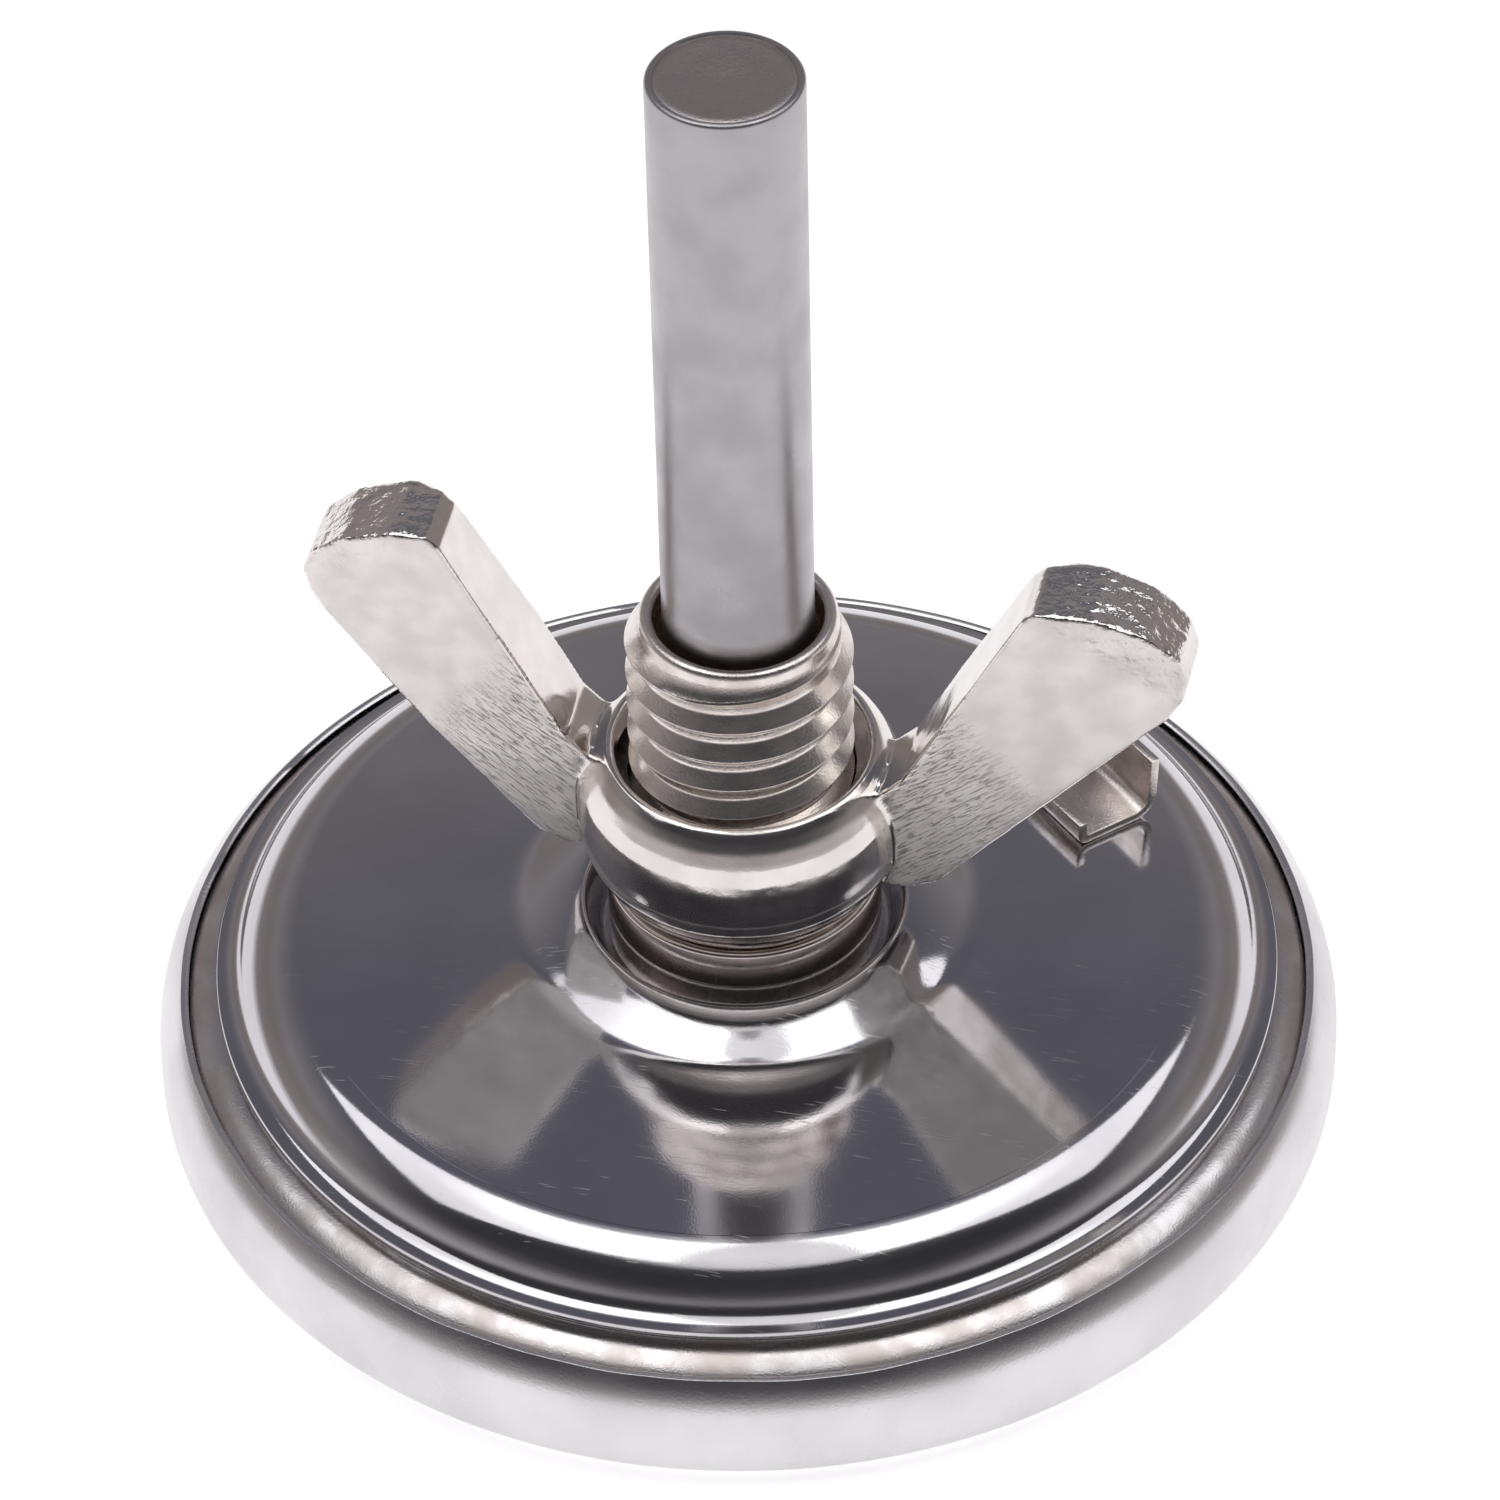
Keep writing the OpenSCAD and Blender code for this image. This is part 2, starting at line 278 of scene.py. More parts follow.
    @staticmethod
    def roughen(obj: bpy.types.Object, size: float, strength: float, depth: int = 2) -> None:
        """Pushes the surface in and out by a cloud pattern.

        Args:
            obj: The object, in mm.
            size: Size of the pattern in mm.
            strength: Height of the pattern in mm.
            depth: Octaves of the pattern.
        """
        clouds = bpy.data.textures.new(obj.name + "_clouds", "CLOUDS")
        clouds.noise_scale = size
        clouds.noise_depth = depth
        Bench.apply(obj, "DISPLACE", texture=clouds, strength=strength, mid_level=0.5, texture_coords="LOCAL")
        bpy.data.textures.remove(clouds)

    @staticmethod
    def finish(
        obj: bpy.types.Object,
        name: str,
        body: Body,
        finish: "Finish",
        nodes: tuple[str, ...],
        angle: float,
    ) -> bpy.types.Object:
        """Scales a piece to metres, dresses it and hands it to its body.

        Args:
            obj: The piece, in mm.
            name: Name of the finished piece.
            body: The body that it rides on.
            finish: Its finish, named as the record's material slot.
            nodes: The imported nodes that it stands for.
            angle: Edges sharper than this many degrees stay sharp.

        Returns:
            The finished piece.
        """
        Bench.hold(obj)
        obj.scale = (MM, MM, MM)
        bpy.ops.object.transform_apply(location=True, rotation=True, scale=True)
        bpy.ops.object.shade_smooth_by_angle(angle=math.radians(angle))
        obj.name = name
        obj.data.materials.clear()
        obj.data.materials.append(finish.material())
        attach(obj, body.value)
        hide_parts(*nodes)
        log.info("%s: %d faces on %s", name, len(obj.data.polygons), body.value)
        return obj


# ---------------------------------------------------------------- finishes


class Sheet:
    """A material's node tree, with short calls for the nodes that the finishes use."""

    def __init__(self, tree: bpy.types.NodeTree) -> None:
        """Holds a node tree."""
        self.tree = tree

    def node(self, kind: str, **values: object) -> bpy.types.Node:
        """Adds a node.

        Args:
            kind: The node's type.
            values: Its properties.

        Returns:
            The new node.
        """
        made = self.tree.nodes.new(kind)
        for key, value in values.items():
            setattr(made, key, value)
        return made

    def link(self, source: Socket, target: Socket) -> None:
        """Joins two sockets."""
        self.tree.links.new(source, target)

    def feed(self, target: Socket, value: object) -> None:
        """Links a socket to the target, or sets it where the value is plain."""
        if isinstance(value, Socket):
            self.link(value, target)
        else:
            target.default_value = value

    def coords(self, scale: Triple = (1, 1, 1), turn: Triple = (0, 0, 0)) -> Socket:
        """Object coordinates in mm, stretched and turned.

        Args:
            scale: Stretch along each axis.
            turn: Turn about each axis in radians.

        Returns:
            The vector socket.
        """
        place = self.node("ShaderNodeTexCoord")
        mapping = self.node("ShaderNodeMapping")
        mapping.inputs["Scale"].default_value = [1000 * s for s in scale]
        mapping.inputs["Rotation"].default_value = turn
        self.link(place.outputs["Object"], mapping.inputs["Vector"])
        return mapping.outputs["Vector"]

    def noise(
        self, vector: Socket, scale: float, detail: float = 3, rough: float = 0.55, bend: float = 0.0
    ) -> Socket:
        """Noise as a value.

        Args:
            vector: Where it is read.
            scale: Cycles per mm.
            detail: Octaves.
            rough: Weight of the fine octaves.
            bend: Distortion.

        Returns:
            The value socket.
        """
        made = self.node("ShaderNodeTexNoise")
        self.link(vector, made.inputs["Vector"])
        made.inputs["Scale"].default_value = scale
        made.inputs["Detail"].default_value = detail
        made.inputs["Roughness"].default_value = rough
        made.inputs["Distortion"].default_value = bend
        return made.outputs["Fac"]

    def maths(self, operation: str, a: object, b: object = 0.0) -> Socket:
        """A math node.

        Args:
            operation: Its operation.
            a: First input, a socket or a number.
            b: Second input.

        Returns:
            The value socket.
        """
        made = self.node("ShaderNodeMath", operation=operation)
        self.feed(made.inputs[0], a)
        self.feed(made.inputs[1], b)
        return made.outputs[0]

    def span(
        self,
        value: object,
        low: float,
        high: float,
        to_low: float = 0.0,
        to_high: float = 1.0,
        smooth: bool = True,
    ) -> Socket:
        """Maps a value from one span to another, clamped.

        Args:
            value: The value.
            low: Start of the span.
            high: End of the span.
            to_low: Result at the start.
            to_high: Result at the end.
            smooth: Whether it eases in and out.

        Returns:
            The value socket.
        """
        made = self.node("ShaderNodeMapRange", interpolation_type="SMOOTHSTEP" if smooth else "LINEAR")
        self.feed(made.inputs["Value"], value)
        made.inputs["From Min"].default_value = low
        made.inputs["From Max"].default_value = high
        made.inputs["To Min"].default_value = to_low
        made.inputs["To Max"].default_value = to_high
        return made.outputs["Result"]

    def mix(self, factor: object, a: object, b: object) -> Socket:
        """Mixes two colours.

        Args:
            factor: Share of the second.
            a: First colour.
            b: Second colour.

        Returns:
            The colour socket.
        """
        made = self.node("ShaderNodeMix", data_type="RGBA", blend_type="MIX")
        for socket, value in ((made.inputs[0], factor), (made.inputs[6], a), (made.inputs[7], b)):
            self.feed(socket, (*value, 1.0) if isinstance(value, tuple) else value)
        return made.outputs[2]

    def split(self, vector: Socket) -> tuple[Socket, ...]:
        """The x, y and z of a vector."""
        made = self.node("ShaderNodeSeparateXYZ")
        self.link(vector, made.inputs[0])
        return tuple(made.outputs)

    def polar(self) -> tuple[Socket, Socket, Socket]:
        """Radius in mm, angle in radians and height in mm about the probe's axis."""
        x, y, z = self.split(self.coords())
        across, deep = self.maths("MULTIPLY", x, x), self.maths("MULTIPLY", y, y)
        radius = self.maths("SQRT", self.maths("ADD", across, deep))
        return radius, self.maths("ARCTAN2", y, x), z

    def group(self, tree: bpy.types.NodeTree, **values: object) -> bpy.types.Node:
        """Places a shared effect.

        Args:
            tree: The effect's node group.
            values: Its inputs, with underscores for spaces.

        Returns:
            The group node.
        """
        made = self.node("ShaderNodeGroup", node_tree=tree)
        for key, value in values.items():
            self.feed(made.inputs[key.replace("_", " ")], value)
        return made


class Effects:
    """Shader node groups that several finishes share. Each is built once."""

    built: dict[str, bpy.types.NodeTree] = {}

    @classmethod
    def start(
        cls, name: str, inputs: dict[str, float], outputs: tuple[str, ...]
    ) -> tuple[bpy.types.NodeTree, Sheet, bpy.types.Node, bpy.types.Node]:
        """Starts a node group with float inputs and outputs.

        Args:
            name: The group's name.
            inputs: Names of the inputs and their defaults.
            outputs: Names of the outputs.

        Returns:
            The tree, its sheet, and its input and output nodes.
        """
        tree = bpy.data.node_groups.new(name, "ShaderNodeTree")
        for key, value in inputs.items():
            socket = tree.interface.new_socket(key, in_out="INPUT", socket_type="NodeSocketFloat")
            socket.default_value = value
        for key in outputs:
            tree.interface.new_socket(key, in_out="OUTPUT", socket_type="NodeSocketFloat")
        sheet = Sheet(tree)
        cls.built[name] = tree
        return tree, sheet, sheet.node("NodeGroupInput"), sheet.node("NodeGroupOutput")

    @classmethod
    def mottle(cls) -> bpy.types.NodeTree:
        """Cloudy variation of a bare metal surface, as a value from 0 to 1 and a fine grain for bump."""
        if "mottle" in cls.built:
            return cls.built["mottle"]
        tree, s, given, out = cls.start("mottle", {"Cloud Size": 3.0, "Grain Size": 0.15}, ("Cloud", "Grain"))
        vector = s.coords()
        for key, socket, detail in (("Cloud Size", "Cloud", 4.0), ("Grain Size", "Grain", 3.0)):
            made = s.node("ShaderNodeTexNoise")
            s.link(vector, made.inputs["Vector"])
            s.link(s.maths("DIVIDE", 1.0, given.outputs[key]), made.inputs["Scale"])
            made.inputs["Detail"].default_value = detail
            s.link(s.span(made.outputs["Fac"], 0.3, 0.7), out.inputs[socket])
        return tree

    @classmethod
    def scratches(cls) -> bpy.types.NodeTree:
        """Fine straight scratches in a few directions, as a mask."""
        if "scratches" in cls.built:
            return cls.built["scratches"]
        tree, s, given, out = cls.start("scratches", {"Amount": 0.5}, ("Mask",))
        total: object = 0.0
        for turn in (0.35, 1.25, 2.3, 2.9):
            lines = s.noise(s.coords((0.5, 14.0, 3.0), (0.3, 0, turn)), 1.0, 1.0)
            breaks = s.noise(s.coords((0.35, 0.35, 0.35), (0.1, turn, 0)), 1.0, 2.0)
            one = s.maths("MULTIPLY", s.span(lines, 0.70, 0.76), s.span(breaks, 0.5, 0.62))
            total = s.maths("MAXIMUM", one, total)
        s.link(s.maths("MULTIPLY", total, given.outputs["Amount"]), out.inputs["Mask"])
        return tree

    @classmethod
    def rings(cls) -> bpy.types.NodeTree:
        """The faint rings that turning or spinning leaves about the axis, as a value."""
        if "rings" in cls.built:
            return cls.built["rings"]
        tree, s, given, out = cls.start("rings", {"Spacing": 0.2}, ("Height",))
        radius, angle, z = s.polar()
        joined = s.node("ShaderNodeCombineXYZ")
        s.link(s.maths("DIVIDE", radius, given.outputs["Spacing"]), joined.inputs[0])
        s.link(s.maths("MULTIPLY", s.maths("SINE", angle), 0.6), joined.inputs[1])
        s.link(s.maths("DIVIDE", z, given.outputs["Spacing"]), joined.inputs[2])
        s.link(s.noise(joined.outputs[0], 1.0, 2.0), out.inputs["Height"])
        return tree


@dataclass(frozen=True)
class Metal:
    """A bare or plated metal finish with clouded colour, uneven gloss, grain, rings and scratches."""

    name: str
    colour: Colour
    stain: Colour
    gloss: tuple[float, float] = (0.15, 0.3)
    cloud: float = 3.0
    grain: float = 0.15
    grain_height: float = 0.002
    ring: float = 0.0
    ring_height: float = 0.0
    scratch: float = 0.0

    def build(self) -> bpy.types.Material:
        """Makes the material.

        Returns:
            The finished material.
        """
        mat = bpy.data.materials.new(self.name + FINISHED)
        mat.use_nodes = True
        s = Sheet(mat.node_tree)
        shader = mat.node_tree.nodes["Principled BSDF"]
        shader.inputs["Metallic"].default_value = 1.0
        mottle = s.group(Effects.mottle(), Cloud_Size=self.cloud, Grain_Size=self.grain)
        cloud, grain = mottle.outputs["Cloud"], mottle.outputs["Grain"]
        colour = s.mix(cloud, self.stain, self.colour)
        gloss = s.span(cloud, 0, 1, self.gloss[1], self.gloss[0], smooth=False)
        height = s.maths("MULTIPLY", grain, self.grain_height * MM)
        if self.scratch:
            marks = s.group(Effects.scratches(), Amount=self.scratch).outputs["Mask"]
            gloss = s.maths("ADD", gloss, s.maths("MULTIPLY", marks, 0.25))
            height = s.maths("SUBTRACT", height, s.maths("MULTIPLY", marks, 0.003 * MM))
        if self.ring:
            rings = s.group(Effects.rings(), Spacing=self.ring).outputs["Height"]
            height = s.maths("ADD", height, s.maths("MULTIPLY", rings, self.ring_height * MM))
        self.detail(s, shader, colour, gloss, height)
        return mat

    def detail(self, s: Sheet, shader: bpy.types.Node, colour: object, gloss: object, height: object) -> None:
        """Feeds the shader.

        Args:
            s: The material's sheet.
            shader: The shader node.
            colour: Base colour.
            gloss: Roughness.
            height: Height of the surface in metres.
        """
        bump = s.node("ShaderNodeBump")
        bump.inputs["Strength"].default_value = 1.0
        bump.inputs["Distance"].default_value = 1.0
        s.feed(bump.inputs["Height"], height)
        s.feed(shader.inputs["Base Color"], colour)
        s.feed(shader.inputs["Roughness"], gloss)
        s.link(bump.outputs["Normal"], shader.inputs["Normal"])


@dataclass(frozen=True)
class ForgedNickel(Metal):
    """Bright nickel over a forging: drawn striations on the flats, their grooves darkened with painted shade,
    a pebbled skin on the wing ends.
    """

    def detail(self, s: Sheet, shader: bpy.types.Node, colour: object, gloss: object, height: object) -> None:
        """Adds the striations, with painted shade darkening their grooves, and the pebbling before it feeds
        the shader.

        Args:
            s: The material's sheet.
            shader: The shader node.
            colour: Base colour.
            gloss: Roughness.
            height: Height of the surface in metres.
        """
        facing = s.split(s.node("ShaderNodeNewGeometry").outputs["Normal"])
        flat = s.span(s.maths("ABSOLUTE", facing[1]), 0.82, 0.95)
        x, _, z = s.split(s.coords())
        far = s.maths("ABSOLUTE", x)
        wing = s.maths("MULTIPLY", flat, s.span(far, 6.0, 7.2))
        across = s.maths("ADD", far, s.maths("MULTIPLY", z, 0.15))
        root = s.span(s.maths("ADD", far, s.maths("MULTIPLY", z, 0.72)), 21.5, 27.5, 1.0, 0.0)
        lines = s.node("ShaderNodeCombineXYZ")
        s.link(s.maths("MULTIPLY", across, 0.9), lines.inputs[0])
        slant = s.maths("SUBTRACT", z, s.maths("MULTIPLY", far, 0.75))
        s.link(s.maths("MULTIPLY", slant, 5.0), lines.inputs[2])
        drawn = s.noise(lines.outputs[0], 1.6, 5, 0.7, 0.6)
        cut = s.span(drawn, 0.52, 0.64)
        # Mask of the deepest striations: it sinks the grooves and also carries their painted shade.
        groove_and_shade = s.maths("MULTIPLY", s.maths("MULTIPLY", cut, root), wing)
        faint = s.maths("MULTIPLY", s.maths("MULTIPLY", drawn, wing), 0.010 * MM)
        height = s.maths("ADD", height, faint)
        height = s.maths("SUBTRACT", height, s.maths("MULTIPLY", groove_and_shade, 0.035 * MM))
        end = s.span(s.maths("ADD", s.maths("MULTIPLY", far, 0.59), s.maths("MULTIPLY", z, 0.81)), 30.2, 31.6)
        pebble = s.noise(s.coords(), 1.5, 3, 0.5)
        height = s.maths("ADD", height, s.maths("MULTIPLY", s.maths("MULTIPLY", pebble, end), 0.16 * MM))
        hammered = s.noise(s.coords(), 0.55, 2, 0.4)
        height = s.maths("ADD", height, s.maths("MULTIPLY", hammered, 0.03 * MM))
        gloss = s.maths("ADD", gloss, s.maths("MULTIPLY", wing, 0.30))
        # Painted shade: the deepest striation grooves are darkened towards dark brown.
        colour = s.mix(s.maths("MULTIPLY", groove_and_shade, 0.55), colour, (0.16, 0.13, 0.12))
        super().detail(s, shader, colour, gloss, height)
        bumped = shader.inputs["Normal"].links[0].from_socket
        lean = s.node("ShaderNodeCombineXYZ")
        s.link(s.maths("MULTIPLY", wing, 0.16), lean.inputs[2])
        leant = s.node("ShaderNodeVectorMath", operation="ADD")
        s.link(bumped, leant.inputs[0])
        s.link(lean.outputs[0], leant.inputs[1])
        whole = s.node("ShaderNodeVectorMath", operation="NORMALIZE")
        s.link(leant.outputs[0], whole.inputs[0])
        s.link(whole.outputs[0], shader.inputs["Normal"])


@dataclass(frozen=True)
class Plain:
    """A painted, moulded or printed finish."""

    name: str
    colour: Colour
    second: Colour
    rough: float = 0.5
    cloud: float = 1.5
    grain: float = 0.1
    grain_height: float = 0.003

    def build(self) -> bpy.types.Material:
        """Makes the material.

        Returns:
            The finished material.
        """
        mat = bpy.data.materials.new(self.name + FINISHED)
        mat.use_nodes = True
        s = Sheet(mat.node_tree)
        shader = mat.node_tree.nodes["Principled BSDF"]
        shader.inputs["Metallic"].default_value = 0.0
        mottle = s.group(Effects.mottle(), Cloud_Size=self.cloud, Grain_Size=self.grain)
        s.link(s.mix(mottle.outputs["Cloud"], self.colour, self.second), shader.inputs["Base Color"])
        gloss = s.span(mottle.outputs["Cloud"], 0, 1, self.rough, self.rough + 0.1)
        s.link(gloss, shader.inputs["Roughness"])
        bump = s.node("ShaderNodeBump")
        bump.inputs["Distance"].default_value = self.grain_height * MM
        s.link(mottle.outputs["Grain"], bump.inputs["Height"])
        s.link(bump.outputs["Normal"], shader.inputs["Normal"])
        return mat


@dataclass(frozen=True)
class Clear:
    """Clear glass with a few faint smears."""

    name: str = "window_glass"

    def build(self) -> bpy.types.Material:
        """Makes the material.

        Returns:
            The finished material.
        """
        mat = bpy.data.materials.new(self.name + FINISHED)
        mat.use_nodes = True
        s = Sheet(mat.node_tree)
        shader = mat.node_tree.nodes["Principled BSDF"]
        shader.inputs["Base Color"].default_value = (0.97, 0.99, 0.98, 1)
        shader.inputs["Transmission Weight"].default_value = 1.0
        shader.inputs["IOR"].default_value = 1.45
        smear = s.noise(s.coords((0.3, 0.3, 0.3), (0.2, 0.4, 0)), 1.0, 4)
        s.link(s.span(smear, 0.45, 0.75, 0.0, 0.06), shader.inputs["Roughness"])
        return mat


class Finish(Enum):
    """Every finish on the object, by the record's slot."""

    bezel_steel = Metal(
        "bezel_steel", (0.80, 0.775, 0.795), (0.70, 0.675, 0.69), (0.20, 0.30),
        cloud=6.0, grain=0.12, grain_height=0.0016, ring=0.35, ring_height=0.0012, scratch=0.3,
    )
    band_steel = Metal(
        "band_steel", (0.76, 0.73, 0.74), (0.54, 0.49, 0.47), (0.18, 0.32),
        cloud=2.0, grain=0.1, grain_height=0.002, ring=0.3, ring_height=0.002, scratch=0.2,
    )
    cover_steel = Metal(
        "cover_steel", (0.66, 0.645, 0.67), (0.58, 0.565, 0.59), (0.06, 0.11),
        cloud=5.0, grain=0.1, grain_height=0.0004, ring=0.5, ring_height=0.0006, scratch=0.35,
    )
    stud_nickel = Metal(
        "stud_nickel", (0.86, 0.81, 0.775), (0.70, 0.64, 0.60), (0.20, 0.32),
        cloud=1.4, grain=0.12, grain_height=0.003,
    )
    washer_nickel = Metal(
        "washer_nickel", (0.76, 0.71, 0.68), (0.62, 0.56, 0.52), (0.12, 0.22),
        cloud=1.6, grain=0.15, grain_height=0.0005, ring=0.25, ring_height=0.0008, scratch=0.2,
    )
    nut_nickel = ForgedNickel(
        "nut_nickel", (0.84, 0.80, 0.775), (0.76, 0.72, 0.695), (0.07, 0.16),
        cloud=1.8, grain=0.12, grain_height=0.0006,
    )
    clip_nickel = Metal(
        "clip_nickel", (0.74, 0.69, 0.66), (0.58, 0.52, 0.49), (0.18, 0.3),
        cloud=1.2, grain=0.1, grain_height=0.004,
    )
    braze = Metal(
        "braze", (0.30, 0.20, 0.14), (0.16, 0.10, 0.07), (0.4, 0.6),
        cloud=0.6, grain=0.08, grain_height=0.02,
    )
    probe_steel = Metal(
        "probe_steel", (0.47, 0.445, 0.465), (0.425, 0.40, 0.415), (0.26, 0.36),
        cloud=2.8, grain=0.09, grain_height=0.0015, ring=0.6, ring_height=0.001, scratch=0.25,
    )
    probe_tip = Metal(
        "probe_tip", (0.55, 0.50, 0.49), (0.42, 0.38, 0.37), (0.3, 0.42),
        cloud=1.2, grain=0.1, grain_height=0.006,
    )
    plain_steel = Metal(
        "plain_steel", (0.56, 0.56, 0.57), (0.42, 0.42, 0.43), (0.25, 0.4),
        cloud=1.5, grain=0.1, grain_height=0.003,
    )
    brass = Metal(
        "brass", (0.72, 0.52, 0.25), (0.55, 0.38, 0.16), (0.2, 0.35),
        cloud=1.5, grain=0.1, grain_height=0.003,
    )
    bimetal = Metal(
        "bimetal", (0.42, 0.42, 0.44), (0.34, 0.30, 0.26), (0.3, 0.4),
        cloud=1.0, grain=0.1, grain_height=0.003,
    )
    rubber = Plain("rubber", (0.03, 0.03, 0.03), (0.05, 0.05, 0.05), 0.7, 1.0, 0.06, 0.01)
    black_ring = Plain("black_ring", (0.02, 0.02, 0.02), (0.03, 0.03, 0.03), 0.45)
    dial_face = Plain("dial_face", (0.82, 0.82, 0.79), (0.76, 0.76, 0.73), 0.45, 4.0, 0.15, 0.002)
    dial_print = Plain("dial_print", (0.02, 0.02, 0.02), (0.035, 0.035, 0.035), 0.4)
    pointer_paint = Plain("pointer_paint", (0.62, 0.045, 0.03), (0.55, 0.035, 0.025), 0.35)
    glass = Clear()

    def material(self) -> bpy.types.Material:
        """The finish's material, made the first time it is asked for."""
        found = bpy.data.materials.get(self.value.name + FINISHED)
        return found if found is not None else self.value.build()


# ---------------------------------------------------------------- the case


@dataclass
class Case:
    """The crimped bezel, the band under its lip and the drawn back cover."""

    case_r: float = 25.5
    window_r: float = 21.8
    sheet: float = 0.4
    front_round: float = 1.3
    roll_r: float = 3.585
    roll_z: float = 2.57
    lip_r: float = 24.45
    lip_z: float = 5.1
    band_r: float = 24.1
    band_curve: float = 2.6
    foot_z: float = 5.75
    foot_r: float = 22.85
    foot_t: float = 0.45
    cover_r: float = 22.2
    shoulder: float = 3.2
    fillet: float = 1.0
    dome_top: float = 8.74
    dome_fall: float = 0.00007
    crease_r: float = 9.8
    bead_r: float = 7.0
    bead_z: float = 9.5
    seat_r: float = 6.1
    seat_z: float = 7.85
    cover_t: float = 0.45
    spigot_r: float = 4.15

    def dome(self, r: float) -> float:
        """Height of the dome at a radius."""
        return self.dome_top - self.dome_fall * r**3

    def roll(self, r: float, z: float, curve: float, start: float, stop: float, count: int) -> list[Point]:
        """Points on an arc.

        Args:
            r: Centre's radius.
            z: Centre's height.
            curve: Radius of the arc.
            start: First angle in degrees.
            stop: Last angle in degrees.
            count: Number of steps.

        Returns:
            The points as (radius, height).
        """
        turns = [math.radians(start + (stop - start) * i / count) for i in range(count + 1)]
        return [(r + curve * math.cos(t), z + curve * math.sin(t)) for t in turns]

    def bezel(self) -> bpy.types.Object:
        """Turns the bezel: front face, round corner, side wall and rolled rear lip.

        Returns:
            The finished piece.
        """
        corner = self.case_r - self.front_round
        centre = self.case_r - self.roll_r
        thin = self.roll_r - self.sheet
        outside = [(self.window_r, 0.0)]
        outside += self.roll(corner, self.front_round, self.front_round, -90, 0, 14)
        outside += self.roll(centre, self.roll_z, self.roll_r, 0, 44.5, 22)
        cut = ((0.06, 0.0), (0.27, 0.05), (0.31, 0.09))
        edge = [(self.lip_r - in_by, self.lip_z - down) for in_by, down in cut]
        inside = self.roll(centre, self.roll_z, thin, 42, 0, 12)
        inside += self.roll(corner, self.front_round, self.front_round - self.sheet, 0, -90, 8)
        inside += [(self.window_r, self.sheet)]
        points = outside + edge + inside
        obj = Bench.lathe("bezel", points + [points[0]], 256)
        self.wave_lip(obj)
        return Bench.finish(obj, "Bezel", Body.CASE, Finish.bezel_steel, ("bezel_ring",), 32)

    def wave_lip(self, obj: bpy.types.Object) -> None:
        """Gives the crimped lip's cut edge the slight unevenness of rolled sheet.

        Args:
            obj: The turned bezel, in mm.
        """
        for vertex in obj.data.vertices:
            share = max(0.0, min(1.0, (vertex.co.z - 4.3) / 0.75))
            if share <= 0:
                continue
            turn = math.atan2(vertex.co.y, vertex.co.x)
            wave = 0.022 * math.sin(7 * turn + 0.4) + 0.016 * math.sin(17 * turn)
            wave += 0.011 * math.sin(41 * turn + 1.3)
            vertex.co.z -= share * (0.05 - wave) * 0.8
            grow = 1 - share * (0.02 + wave * 0.7) / self.lip_r
            vertex.co.x *= grow
            vertex.co.y *= grow

    def band(self) -> bpy.types.Object:
        """Turns the rim of the case that shows between the lip and the cover's foot.

        Returns:
            The finished piece.
        """
        r, z = self.foot_r, self.foot_z
        roll = self.roll(r - 0.35, z - 3.04, self.band_curve, 52, 86, 16)
        points = [(self.band_r - 0.4, z - 1.4), (self.band_r, z - 1.4)]
        points += [(min(self.band_r, across), up) for across, up in roll]
        points += [(r - 0.15, z - 0.36), (r - 0.17, z - 0.01), (r - 0.75, z - 0.01)]
        points += [(r - 0.75, z - 0.42), (r - 0.2, z - 0.85), (self.band_r - 0.4, z - 1.3)]
        obj = Bench.lathe("band", points + [points[0]], 256)
        return Bench.finish(obj, "RimBand", Body.CASE, Finish.band_steel, ("case_band",), 40)

    def cover(self) -> bpy.types.Object:
        """Turns the back cover: foot, fillet, round shoulder, dome, raised bead and the stud's seat.

        Returns:
            The finished piece.
        """
        lean = 85.0
        corner_r = self.cover_r - self.shoulder
        corner_z = self.dome(corner_r + 0.5) - self.shoulder * math.sin(math.radians(lean))
        fillet_z = self.foot_z + self.foot_t + self.fillet
        both = self.shoulder + self.fillet
        wall = math.asin((fillet_z - corner_z) / both)
        fillet_r = corner_r + both * math.cos(wall)
        foot_top = self.foot_z + self.foot_t
        foot = [(self.foot_r - 0.02, self.foot_z), (self.foot_r, self.foot_z + 0.05)]
        foot += [(self.foot_r, foot_top - 0.07), (self.foot_r - 0.05, foot_top - 0.01)]
        wall = math.degrees(wall)
        side = self.roll(fillet_r, fillet_z, self.fillet, 270, 180 + wall, 10)
        side += self.roll(corner_r, corner_z, self.shoulder, wall, lean, 26)
        crown = [(r, self.dome(r)) for r in self.steps(corner_r + 0.5, self.crease_r, 44)]
        crown += [(r, self.bead(r)) for r in self.steps(self.crease_r, self.bead_r, 14)]
        crown += [(r, self.bead(r)) for r in self.steps(self.bead_r, self.seat_r, 20)]
        crown = self.ease(crown, 4)
        inner = [(self.spigot_r, self.seat_z), (self.spigot_r, self.seat_z - self.cover_t)]
        back = [(r, z - self.cover_t) for r, z in reversed(crown)]
        thin = self.shoulder - self.cover_t
        back += self.roll(corner_r, corner_z, thin, lean, 17, 12)
        back.append((corner_r + thin - 0.1, self.foot_z))
        points = foot + side + crown + inner + back
        obj = Bench.lathe("cover", points + [points[0]], 256)
        return Bench.finish(obj, "BackCover", Body.CASE, Finish.cover_steel, ("back_cover",), 40)

    def bead(self, r: float) -> float:
        """Height of the raised bead, outside or inside its top, at a radius."""
        if r >= self.bead_r:
            share = (r - self.bead_r) / (self.crease_r - self.bead_r)
            return self.bead_z - (self.bead_z - self.dome(self.crease_r)) * share**1.5
        share = (self.bead_r - r) / (self.bead_r - self.seat_r)
        return self.bead_z - (self.bead_z - self.seat_z) * (1 - math.cos(math.pi * share)) / 2

